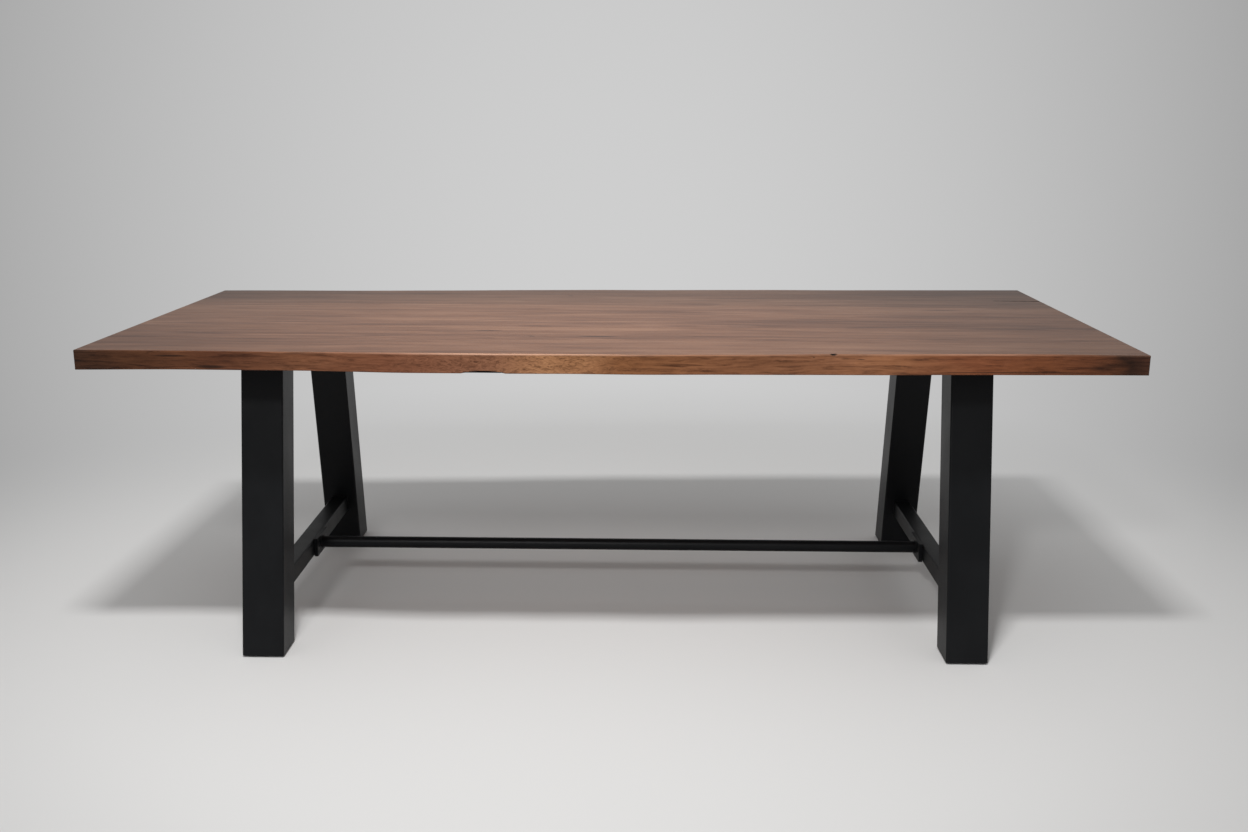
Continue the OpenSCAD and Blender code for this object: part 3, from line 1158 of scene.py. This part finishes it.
def section_recipe() -> Recipe:
    """Writes the tree for a tube, square with round corners or round, with slanting ends.

    Returns:
        The recipe. The tube runs along its own Z, leans along Y, and its ends draw in with Y.
    """
    recipe = Recipe("tube")
    width, height, wall, corner, length, lean, taper = (
        recipe.take(name) for name in ("Width", "Height", "Wall", "Corner radius", "Length",
                                       "Lean", "End taper"))
    steps = recipe.take("Corner steps", "Int")
    place, turn = recipe.take("Place", "Vector"), recipe.take("Turn", "Vector")

    def outline(less: object, radius: object) -> NodeSocket:
        """Draws the section, smaller all round, with round corners.

        Args:
            less: how much smaller each side lies.
            radius: the corners' radius.

        Returns:
            The curve's socket.
        """
        flat = recipe.add("GeometryNodeCurvePrimitiveQuadrilateral",
                          {"Width": recipe.scaled(less, -2, width),
                           "Height": recipe.scaled(less, -2, height)})
        return recipe.add("GeometryNodeFilletCurve", {"Curve": flat.outputs[0], "Count": steps,
                                                      "Radius": radius}, mode="POLY").outputs[0]

    inner_radius = recipe.reckon("MAXIMUM", recipe.less(corner, wall), 1 * MM)
    both = recipe.together(outline(0.0, corner), outline(wall, inner_radius))
    ring = recipe.add("GeometryNodeFillCurve", {0: both}).outputs[0]
    raised = recipe.add("GeometryNodeExtrudeMesh", {"Mesh": ring, "Offset": (0, 0, 1),
                                                    "Offset Scale": length, "Individual": False})
    lower = recipe.add("GeometryNodeFlipFaces", {"Mesh": ring}).outputs[0]
    merged = recipe.add("GeometryNodeMergeByDistance", {
        "Geometry": recipe.together(raised.outputs[0], lower), "Distance": MERGE}).outputs[0]
    x, y, z = recipe.parts(recipe.add("GeometryNodeInputPosition").outputs[0])
    along = recipe.less(z, recipe.times(length, 0.5))
    drawn = recipe.times(along, recipe.less(1.0, recipe.times(taper, y)))
    leant = recipe.scaled(along, lean, y)
    shaped = recipe.add("GeometryNodeSetPosition", {
        "Geometry": merged, "Position": recipe.join(x, leant, drawn)}).outputs[0]
    rotation = recipe.add("FunctionNodeEulerToRotation", {0: turn}).outputs[0]
    placed = recipe.add("GeometryNodeTransform", {"Geometry": shaped, "Translation": place,
                                                  "Rotation": rotation})
    recipe.close(placed.outputs[0])
    return recipe


def weld_recipe() -> Recipe:
    """Writes the tree that lays a rippled weld bead along a path.

    Returns:
        The recipe. Its stock is a mesh of edges that draws the path.
    """
    recipe = Recipe("weld_bead")
    bead, spacing = recipe.take("Bead radius"), recipe.take("Ripple spacing")
    path = recipe.add("GeometryNodeMeshToCurve", {0: recipe.entry.outputs["Stock"]}).outputs[0]
    even = recipe.add("GeometryNodeResampleCurve", {"Curve": path, "Length": spacing},
                      mode="LENGTH")
    ball = recipe.add("GeometryNodeMeshUVSphere", {"Segments": 8, "Rings": 5, "Radius": bead})
    tangent = recipe.add("GeometryNodeInputTangent").outputs[0]
    turn = recipe.add("FunctionNodeAlignRotationToVector", {"Vector": tangent}, axis="X")
    size = recipe.add("FunctionNodeRandomValue", {2: 0.88, 3: 1.1, "Seed": 7}, data_type="FLOAT")
    squash = recipe.vector("MULTIPLY", recipe.join(*(size.outputs[1],) * 3), (0.75, 1, 1))
    ripples = recipe.add("GeometryNodeInstanceOnPoints", {
        "Points": even.outputs[0], "Instance": ball.outputs[0], "Rotation": turn.outputs[0],
        "Scale": squash})
    profile = recipe.add("GeometryNodeCurvePrimitiveCircle", {
        "Resolution": 8, "Radius": recipe.times(bead, 0.8)})
    core = recipe.add("GeometryNodeCurveToMesh", {"Curve": even.outputs[0],
                                                  "Profile Curve": profile.outputs[0],
                                                  "Fill Caps": True})
    recipe.close(recipe.together(ripples.outputs[0], core.outputs[0]), 70.0)
    return recipe


def fastener_recipe() -> Recipe:
    """Writes the tree that sets one fastener on each point of its stock.

    Returns:
        The recipe. Each point's "axis" attribute says which way the fastener's Z looks.
    """
    recipe = Recipe("fastener_set")
    part, seed = recipe.take("Fastener", "Object"), recipe.take("Turn seed", "Int")
    axis = recipe.add("GeometryNodeInputNamedAttribute", {"Name": "axis"},
                      data_type="FLOAT_VECTOR").outputs[0]
    facing = recipe.add("FunctionNodeAlignRotationToVector", {"Vector": axis}, axis="Z")
    source = recipe.add("GeometryNodeObjectInfo", {"Object": part}).outputs["Geometry"]
    points = recipe.add("GeometryNodeMeshToPoints", {0: recipe.entry.outputs["Stock"]}).outputs[0]
    placed = recipe.add("GeometryNodeInstanceOnPoints", {
        "Points": points, "Instance": source, "Rotation": facing.outputs[0]}).outputs[0]
    angle = recipe.add("FunctionNodeRandomValue", {2: 0.0, 3: math.tau, "Seed": seed},
                       data_type="FLOAT").outputs[1]
    spin = recipe.add("FunctionNodeEulerToRotation", {0: recipe.join(0.0, 0.0, angle)})
    turned_in = recipe.add("GeometryNodeRotateInstances", {
        "Instances": placed, "Rotation": spin.outputs[0], "Local Space": True})
    recipe.close(turned_in.outputs[0])
    return recipe


def thread_recipe() -> Recipe:
    """Writes the tree for a threaded stud.

    Returns:
        The recipe. The stud stands along Z, with its middle at Place.
    """
    recipe = Recipe("threaded_stud")
    diameter, length, pitch, depth = (recipe.take(name) for name in (
        "Diameter", "Length", "Pitch", "Thread depth"))
    rows, place = recipe.take("Rows", "Int"), recipe.take("Place", "Vector")
    rod = recipe.add("GeometryNodeMeshCylinder", {
        "Vertices": 30, "Side Segments": rows, "Depth": length,
        "Radius": recipe.times(diameter, 0.5)}).outputs["Mesh"]
    x, y, z = recipe.parts(recipe.add("GeometryNodeInputPosition").outputs[0])
    round_share = recipe.reckon("DIVIDE", recipe.reckon("ARCTAN2", y, x), math.tau)
    phase = recipe.reckon("FRACT", recipe.less(recipe.reckon("DIVIDE", z, pitch), round_share))
    flank = recipe.reckon("ABSOLUTE", recipe.scaled(phase, 2.0, -1.0))
    run_out = recipe.less(recipe.times(length, 0.5), recipe.reckon("ABSOLUTE", z))
    chamfer = recipe.reckon("MAXIMUM", 0.0, recipe.less(1.0, recipe.reckon(
        "DIVIDE", run_out, pitch)))
    cut = recipe.times(recipe.reckon("MAXIMUM", flank, chamfer), depth)
    shrink = recipe.less(1.0, recipe.reckon("DIVIDE", recipe.times(cut, 2.0), diameter))
    thread = recipe.add("GeometryNodeSetPosition", {"Geometry": rod, "Position": recipe.join(
        recipe.times(x, shrink), recipe.times(y, shrink), z)})
    placed = recipe.add("GeometryNodeTransform", {"Geometry": thread.outputs[0],
                                                  "Translation": place})
    recipe.close(placed.outputs[0], 50.0)
    return recipe


def path_mesh(loops: Sequence[Path3]) -> Mesh:
    """Draws closed paths as a mesh of edges.

    Args:
        loops: the points of each path, in order.

    Returns:
        The mesh.
    """
    points, edges = [], []
    for loop in loops:
        first, count = len(points), len(loop)
        points.extend(loop)
        edges.extend((first + i, first + (i + 1) % count) for i in range(count))
    mesh = bpy.data.meshes.new("paths")
    mesh.from_pydata(points, edges, [])
    return mesh


def round_loop(width: float, height: float, radius: float) -> list[tuple[float, float]]:
    """Gives the outline of a rounded rectangle about the origin.

    Args:
        width: its full width.
        height: its full height.
        radius: its corner radius.

    Returns:
        The points, counter-clockwise.
    """
    points = []
    for i, (sx, sy) in enumerate(((1, 1), (-1, 1), (-1, -1), (1, -1))):
        for k in range(CORNER_STEPS):
            a = math.radians(90 * (i + k / (CORNER_STEPS - 1)))
            points.append((sx * (width / 2 - radius) + radius * math.cos(a),
                           sy * (height / 2 - radius) + radius * math.sin(a)))
    return points


@dataclass
class Trestle:
    """One end frame: two leaning legs, the rail between them, and the plates."""

    side: Side
    tube: Recipe
    coat: Material
    leg_wall: float = 3 * MM
    leg_corner: float = 5 * MM
    rail_wall: float = 2.5 * MM
    rail_corner: float = 3.5 * MM
    plate_wear: float = 0.7 * MM
    weld_paths: list[Path3] = field(default_factory=list)

    def build(self) -> None:
        """Builds the frame's legs, rail and plates."""
        end = self.side.name.lower()
        for edge in Edge:
            self._leg(edge, f"leg_{edge.name.lower()}_{end}")
        self._rail(f"cross_rail_{end}")
        for node in (f"top_plate_{end}", f"foot_plate_front_{end}", f"foot_plate_back_{end}"):
            fit_piece(node + "_steel", copy_of_node(node, self.plate_wear), [node],
                      finish=self.coat)

    @staticmethod
    def lean_of(node: str) -> float:
        """Works out a leg's lean in radians from its box, which holds a square, level-cut tube."""
        size = Vector(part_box(node)[1]) - Vector(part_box(node)[0])
        return math.acos(size.x / math.hypot(size.y, size.z)) - math.atan2(size.z, size.y)

    def _leg(self, edge: Edge, node: str) -> None:
        """Makes one leg and notes the path of the weld at its head.

        Args:
            edge: the side of the table that it stands at.
            node: the leg's node.
        """
        lo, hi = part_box(node)
        lean, width = self.lean_of(node), hi.x - lo.x
        deep, centre = width / math.cos(lean), (lo + hi) / 2
        mesh = self.tube.make({
            "Finish": self.coat, "Width": width, "Height": deep, "Wall": self.leg_wall,
            "Corner radius": self.leg_corner, "Corner steps": CORNER_STEPS, "Length": hi.z - lo.z,
            "Lean": -edge.value * math.tan(lean), "Place": list(centre)})
        fit_piece(node + "_tube", mesh, [node])
        head_y = centre.y - edge.value * math.tan(lean) * (hi.z - lo.z) / 2
        self.weld_paths.append([(centre.x + x, head_y + y, hi.z) for x, y in round_loop(
            width, deep, self.leg_corner)])

    def _rail(self, node: str) -> None:
        """Makes the rail between the legs and notes the paths of the welds at its ends.

        Args:
            node: the rail's node.
        """
        lo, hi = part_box(node)
        slope = math.tan(self.lean_of(f"leg_front_{self.side.name.lower()}"))
        width, centre = hi.x - lo.x, (lo + hi) / 2
        length = hi.y - lo.y - slope * width
        mesh = self.tube.make({
            "Finish": self.coat, "Width": width, "Height": width, "Wall": self.rail_wall,
            "Corner radius": self.rail_corner, "Corner steps": CORNER_STEPS, "Length": length,
            "End taper": 2 * slope / length, "Place": list(centre),
            "Turn": [math.radians(90), 0.0, 0.0]})
        fit_piece(node + "_tube", mesh, [node])
        for edge in Edge:
            self.weld_paths.append([(centre.x + x, edge.value * (length / 2 - slope * z),
                                     centre.z + z)
                                    for x, z in round_loop(width, width, self.rail_corner)])


@dataclass
class Stretcher:
    """The round tube between the frames, and its end plates."""

    tube: Recipe
    coat: Material
    wall: float = 2.5 * MM
    steps: int = 14
    plate_wear: float = 0.7 * MM
    weld_paths: list[Path3] = field(default_factory=list)

    def build(self) -> None:
        """Builds the tube and its plates, and notes the weld paths."""
        lo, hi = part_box("stretcher_bar")
        size, centre = hi - lo, (lo + hi) / 2
        mesh = self.tube.make({
            "Finish": self.coat, "Width": size.z, "Height": size.y, "Wall": self.wall,
            "Corner radius": size.z / 2, "Corner steps": self.steps, "Length": size.x,
            "Place": list(centre), "Turn": [0.0, math.radians(90), 0.0]})
        fit_piece("stretcher_bar_tube", mesh, ["stretcher_bar"])
        self.weld_paths = [[(x, centre.y + b, centre.z + a) for a, b in round_loop(
            size.z, size.y, size.z / 2)] for x in (lo.x, hi.x)]
        for side in Side:
            node = f"end_plate_{side.name.lower()}"
            fit_piece(node + "_steel", copy_of_node(node, self.plate_wear), [node],
                      finish=self.coat)


@dataclass
class Welds:
    """The weld beads of the steelwork."""

    coat: Material
    bead: float = 2.2 * MM
    ripple: float = 2.6 * MM

    def build(self, paths: Sequence[Path3]) -> None:
        """Lays a bead along each path.

        Args:
            paths: closed paths, in the frame of the table.
        """
        mesh = weld_recipe().make({"Finish": self.coat, "Bead radius": self.bead,
                                   "Ripple spacing": self.ripple}, path_mesh(paths))
        fit_piece("frame_welds", mesh, [])


def hex_head(across_flats: float, height: float) -> Mesh:
    """Makes a hexagon bolt head with a turned chamfer and a shallow dish on top.

    Args:
        across_flats: its width across the flats.
        height: its height above the washer.

    Returns:
        A closed mesh that stands on Z = 0.
    """
    flat, sixth, slope = across_flats / 2, math.pi / 3, math.tan(math.radians(27))
    rings: list[list[tuple[float, float, float]]] = [[], [], [], [], []]
    for a in TURN_ANGLES:
        reach = flat / math.cos((a + sixth / 2) % sixth - sixth / 2)
        rows = ((reach, 0.0), (reach, height - (reach - 0.94 * flat) * slope),
                (0.93 * flat, height), (0.84 * flat, height), (0.74 * flat, height - 0.25 * MM))
        for ring, (r, z) in zip(rings, rows):
            ring.append((r * math.cos(a), r * math.sin(a), z))
    points = [point for ring in rings for point in ring]
    return soften(mesh_of(points, skin(len(rings), len(TURN_ANGLES), capped=True)), crease=20)


def washer(outer: float, inner: float, thick: float) -> Mesh:
    """Makes a stamped washer that stands on Z = 0, rounder on its upper face."""
    r, b, t = outer / 2, inner / 2, thick
    return soften(turned(((b, 0.0), (r, 0.0), (r, t * 0.6), (r - t * 0.12, t * 0.88),
                          (r - t * 0.4, t), (b, t)), ring=True), crease=40)


@dataclass
class FastenerSet:
    """A set of upright bolts, heads down, with their washers, all of one size."""

    bolts: str
    washers: str
    finish: SteelFinish
    slot: Slot
    seed: int

    def build(self) -> None:
        """Sets a head on each bolt's place, and a washer under it."""
        dress = self.finish.make()
        rings = islands(self.washers)
        bolt_lo, bolt_hi = islands(self.bolts)[0]
        ring_lo, ring_hi = rings[0]
        flats = min(bolt_hi.x - bolt_lo.x, bolt_hi.y - bolt_lo.y)
        outer, thick = ring_hi.x - ring_lo.x, ring_hi.z - ring_lo.z
        recipe = fastener_recipe()
        for node, template, level in (
                (self.bolts, hex_head(flats, ring_lo.z - bolt_lo.z), ring_lo.z),
                (self.washers, washer(outer, 0.52 * outer, thick), ring_hi.z)):
            stock = bpy.data.meshes.new("points")
            stock.from_pydata([((lo.x + hi.x) / 2, (lo.y + hi.y) / 2, level)
                               for lo, hi in rings], [], [])
            stock.attributes.new("axis", "FLOAT_VECTOR", "POINT").data.foreach_set(
                "vector", [0.0, 0.0, -1.0] * len(rings))
            pattern = place_object("pattern", template)
            mesh = recipe.make({"Finish": dress, "Fastener": pattern, "Turn seed": self.seed},
                               stock)
            bpy.data.objects.remove(pattern)
            fit_piece(node + "_set", mesh, [node])


@dataclass
class LevellingGlide:
    """One levelling glide: a threaded stud on a steel disc, with a nylon pad under it."""

    corner: str
    thread: Recipe
    zinc: Material
    nylon: Material
    stud_d: float = 12 * MM
    pitch: float = 1.75 * MM
    thread_depth: float = 1.0 * MM
    rows_per_turn: int = 6
    disc_gap: float = 0.3 * MM
    disc_rim: float = 0.5 * MM
    pad_bevel: float = 0.6 * MM
    pad_arris: float = 0.3 * MM

    def build(self) -> None:
        """Builds the stud with its disc, and the pad."""
        stud, pad = f"glide_stud_{self.corner}", f"glide_pad_{self.corner}"
        body = f"glide_{self.corner}"
        lo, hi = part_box(stud)
        centre = (lo + hi) / 2
        disc_r, pad_hi = (hi.x - lo.x) / 2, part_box(pad)[1]
        leg_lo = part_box(f"leg_{self.corner}")[0]
        disc_top, rim = leg_lo.z - self.disc_gap, self.disc_rim
        disc = turned([(0, lo.z), (disc_r - rim, lo.z), (disc_r, lo.z + rim),
                       (disc_r, disc_top - rim), (disc_r - rim, disc_top),
                       (0.62 * disc_r, disc_top), (0, disc_top)], centre.xy)
        disc.materials.append(self.zinc)
        length = hi.z - disc_top
        thread = self.thread.make({
            "Finish": self.zinc, "Diameter": self.stud_d, "Length": length, "Pitch": self.pitch,
            "Thread depth": self.thread_depth,
            "Rows": round(length / self.pitch * self.rows_per_turn),
            "Place": [centre.x, centre.y, disc_top + length / 2]})
        fit_piece(stud + "_thread", joined([soften(disc), thread]), [stud], body)
        pad_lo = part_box(pad)[0]
        r, low, high = (pad_hi.x - pad_lo.x) / 2, pad_lo.z, pad_hi.z
        bevel, arris = self.pad_bevel, self.pad_arris
        foot = turned([(0, low), (r - 2.2 * bevel, low), (r - bevel, low + 0.2 * bevel),
                       (r - 0.3 * bevel, low + 0.5 * bevel), (r, low + bevel),
                       (r, high - arris), (r - arris, high), (0, high)], centre.xy)
        fit_piece(pad + "_moulding", soften(foot), [pad], body, self.nylon)


# ---- Studio -----------------------------------------------------------------------------------


@dataclass(frozen=True)
class Softbox:
    """A soft rectangular light."""

    name: str
    place: tuple[float, float, float]
    aim: tuple[float, float, float]
    size: tuple[float, float]
    power: float
    spread: float

    def hang(self) -> None:
        """Hangs the light and turns it towards its aim."""
        lamp = bpy.data.lights.new(self.name, "AREA")
        lamp.shape = "RECTANGLE"
        lamp.size, lamp.size_y = self.size
        lamp.energy = self.power
        lamp.spread = math.radians(self.spread)
        hung = bpy.data.objects.new(self.name, lamp)
        hung.location = self.place
        hung.rotation_euler = (Vector(self.aim) - Vector(self.place)).to_track_quat(
            "-Z", "Y").to_euler()
        hung.visible_camera = False
        bpy.context.scene.collection.objects.link(hung)


@dataclass(frozen=True)
class Studio:
    """A pale sweep of floor, even light all round, two softboxes, and the camera."""

    lights: tuple[Softbox, ...]
    eye: tuple[float, float, float] = (0.0580, -3.3494, 1.2758)
    yaw: float = -0.735
    dip: float = 13.205
    roll: float = 0.294
    lens: float = 37.17
    sensor: float = 36.0
    behind: tuple[float, float, float] = (-0.025, 0.996, -0.078)
    around: float = 0.46
    edges: float = 0.37
    sides: float = 0.8
    glow: float = 0.62
    squash: tuple[float, float, float] = (1.0, 1.0, 0.75)
    floor_colour: tuple[float, ...] = (0.74, 0.7363, 0.7289, 1.0)
    floor_reach: float = 400.0
    table_zone: tuple[float, float] = (1.25, 2.9)

    def build(self) -> None:
        """Sets up floor, light and camera."""
        self._floor()
        self._surround()
        for light in self.lights:
            light.hang()
        self._camera()
        bpy.context.scene.view_settings.view_transform = "Standard"

    def _floor(self) -> None:
        """Lays a wide floor that turns into the tone of the surround far from the table."""
        mesh = bpy.data.meshes.new("studio_floor")
        reach = self.floor_reach
        mesh.from_pydata([(-reach, -reach, 0), (reach, -reach, 0), (reach, reach, 0),
                          (-reach, reach, 0)], [], [(0, 1, 2, 3)])
        bench = FinishBench("studio_floor")
        flat = bench.vector("MULTIPLY", bench.place, (1, 1, 0))
        away = bench.add("ShaderNodeVectorMath", {0: flat}, operation="LENGTH").outputs["Value"]
        bench.feed(Base_Color=self.floor_colour, Roughness=0.8, Specular_IOR_Level=0.2)
        level = self._glow_at(bench, bench.vector(
            "NORMALIZE", bench.vector("SUBTRACT", bench.place, self.eye)))
        lit = bench.add("ShaderNodeEmission", {"Color": level})
        blend = bench.add("ShaderNodeMixShader", {
            0: bench.between(away, *self.table_zone), 1: bench.shader.outputs[0],
            2: lit.outputs[0]})
        bench.tree.links.new(blend.outputs[0], bench.tree.nodes["Material Output"].inputs[0])
        mesh.materials.append(bench.material)
        place_object("studio_floor", mesh)

    def _glow_at(self, bench: Bench, direction: NodeSocket) -> NodeSocket:
        """Gives the tone of the surround, which glows softly behind the table.

        Args:
            bench: the tree's bench.
            direction: the direction looked in.

        Returns:
            The tone's socket.
        """
        flatter = bench.vector("NORMALIZE", bench.vector("MULTIPLY", direction, self.squash))
        ahead = bench.add("ShaderNodeVectorMath", {0: flatter, 1: self.behind},
                          operation="DOT_PRODUCT").outputs["Value"]
        level = bench.ramp(ahead, ((0.70, self.around), (0.885, self.edges), (1.00, self.glow)),
                           smooth=False)
        aside = bench.reckon("ABSOLUTE", bench.parts(direction)[0])
        dim = bench.add("ShaderNodeMapRange", {0: aside, 1: 0.5, 2: 0.95, 3: 1.0, 4: self.sides})
        return bench.vector("MULTIPLY", level, bench.join(*(dim.outputs[0],) * 3))

    def _surround(self) -> None:
        """Fills the surround with even light, brighter behind the table."""
        world = bpy.data.worlds.new("surround")
        bpy.context.scene.world = world
        world.use_nodes = True
        bench = Bench(world.node_tree)
        level = self._glow_at(bench, bench.add("ShaderNodeTexCoord").outputs["Generated"])
        bench.tree.links.new(level, bench.tree.nodes["Background"].inputs["Color"])

    def _camera(self) -> None:
        """Puts the camera at eye height in front of the table."""
        yaw, dip, roll = (math.radians(a) for a in (self.yaw, self.dip, self.roll))
        level = Vector((math.cos(yaw), -math.sin(yaw), 0))
        gaze = Vector((math.cos(dip) * math.sin(yaw), math.cos(dip) * math.cos(yaw),
                       -math.sin(dip)))
        upright = Vector((math.sin(dip) * math.sin(yaw), math.sin(dip) * math.cos(yaw),
                          math.cos(dip)))
        right = math.cos(roll) * level + math.sin(roll) * upright
        up = -math.sin(roll) * level + math.cos(roll) * upright
        data = bpy.data.cameras.new("camera")
        data.lens, data.sensor_width = self.lens, self.sensor
        data.clip_end = 1000.0
        camera = bpy.data.objects.new("camera", data)
        turn = Matrix((right, up, -gaze)).transposed()
        camera.matrix_world = Matrix.Translation(self.eye) @ turn.to_4x4()
        bpy.context.scene.collection.objects.link(camera)
        bpy.context.scene.camera = camera


# ---- The whole table --------------------------------------------------------------------------


BOARDS = (
    Board("board_front", WalnutFinish(
        "walnut_front", 11.0, (-0.61, 0.68), tone=0.88, warmth=0.0, edge=Edge.FRONT,
        light_streaks=((-0.93, -0.55, -0.445),),
        hairlines=((0.512, 0.7500, 0.014, 0.0011), (0.546, 0.7488, 0.011, 0.0011),
                   (0.441, 0.7535, 0.003, 0.0016), (-0.985, 0.748, 0.05, 0.003),
                   (-0.90, 0.7225, 0.042, 0.0055), (0.9, 0.7205, 0.24, 0.0016))), 1200),
    Board("board_2", WalnutFinish(
        "walnut_2", 23.0, (-0.26, 0.85), tone=0.96, warmth=-0.005,
        knots=((-0.20, -0.329, 0.006),),
        dark_streaks=((-0.09, 0.0, -0.327), (-0.35, -0.28, -0.252)),
        light_streaks=((-0.9, -0.6, -0.332),))),
    Board("board_3", WalnutFinish(
        "walnut_3", 37.0, (-0.12, 0.66), tone=1.08, warmth=-0.03,
        light_streaks=((0.20, 0.37, -0.156),))),
    Board("board_4", WalnutFinish(
        "walnut_4", 41.0, (0.05, 0.86), tone=1.05, warmth=-0.03,
        dark_streaks=((0.82, 0.93, 0.132),))),
    Board("board_5", WalnutFinish(
        "walnut_5", 59.0, (0.31, 0.65), tone=0.9, warmth=-0.035, knots=((-0.146, 0.372, 0.007),),
        dark_streaks=((0.18, 0.42, 0.284),)), 420),
    Board("board_back", WalnutFinish(
        "walnut_back", 67.0, (0.55, 0.84), tone=0.86, warmth=-0.035, edge=Edge.BACK), 700),
)
ZINC_NODES = ("foot_weld_nuts", "rivet_nuts", "threaded_inserts")
BOLT_WEAR = 0.25 * MM
STUDIO = Studio(lights=(
    Softbox("key_softbox", (-0.28, -2.25, 4.16), (-0.16, 0.25, 0.4), (0.65, 0.36), 35.0, 95.0),
    Softbox("front_softbox", (-0.9, -4.6, 3.3), (0.0, 0.2, 0.75), (0.4, 0.4), 10.5, 70.0),
))


def main() -> None:
    """Builds the studio and the table."""
    logging.basicConfig(level=logging.INFO, format="%(name)s: %(message)s")
    STUDIO.build()
    BoardTop(SlabOutline("board_front", "board_back"), BOARDS).build()
    coat, tube = POWDER_COAT.make(), section_recipe()
    paths = []
    for side in Side:
        trestle = Trestle(side, tube, coat)
        trestle.build()
        paths += trestle.weld_paths
    stretcher = Stretcher(tube, coat)
    stretcher.build()
    Welds(coat).build(paths + stretcher.weld_paths)
    FastenerSet("top_bolts", "top_washers", ZINC_PLATE, Slot.ZINC, 9).build()
    fit_piece("stretcher_bolts_sunk", copy_of_node("stretcher_bolts", BOLT_WEAR),
              ["stretcher_bolts"], finish=BLACK_OXIDE.make())
    zinc, nylon, thread = ZINC_PLATE.make(), NylonFinish().make(), thread_recipe()
    for corner in ("front_left", "back_left", "front_right", "back_right"):
        LevellingGlide(corner, thread, zinc, nylon).build()
    for node in ZINC_NODES:
        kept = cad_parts[node]
        kept.data.materials.clear()
        kept.data.materials.append(zinc)
        LOG.info("%s: kept, zinc plated", node)


if __name__ == "__main__":
    main()
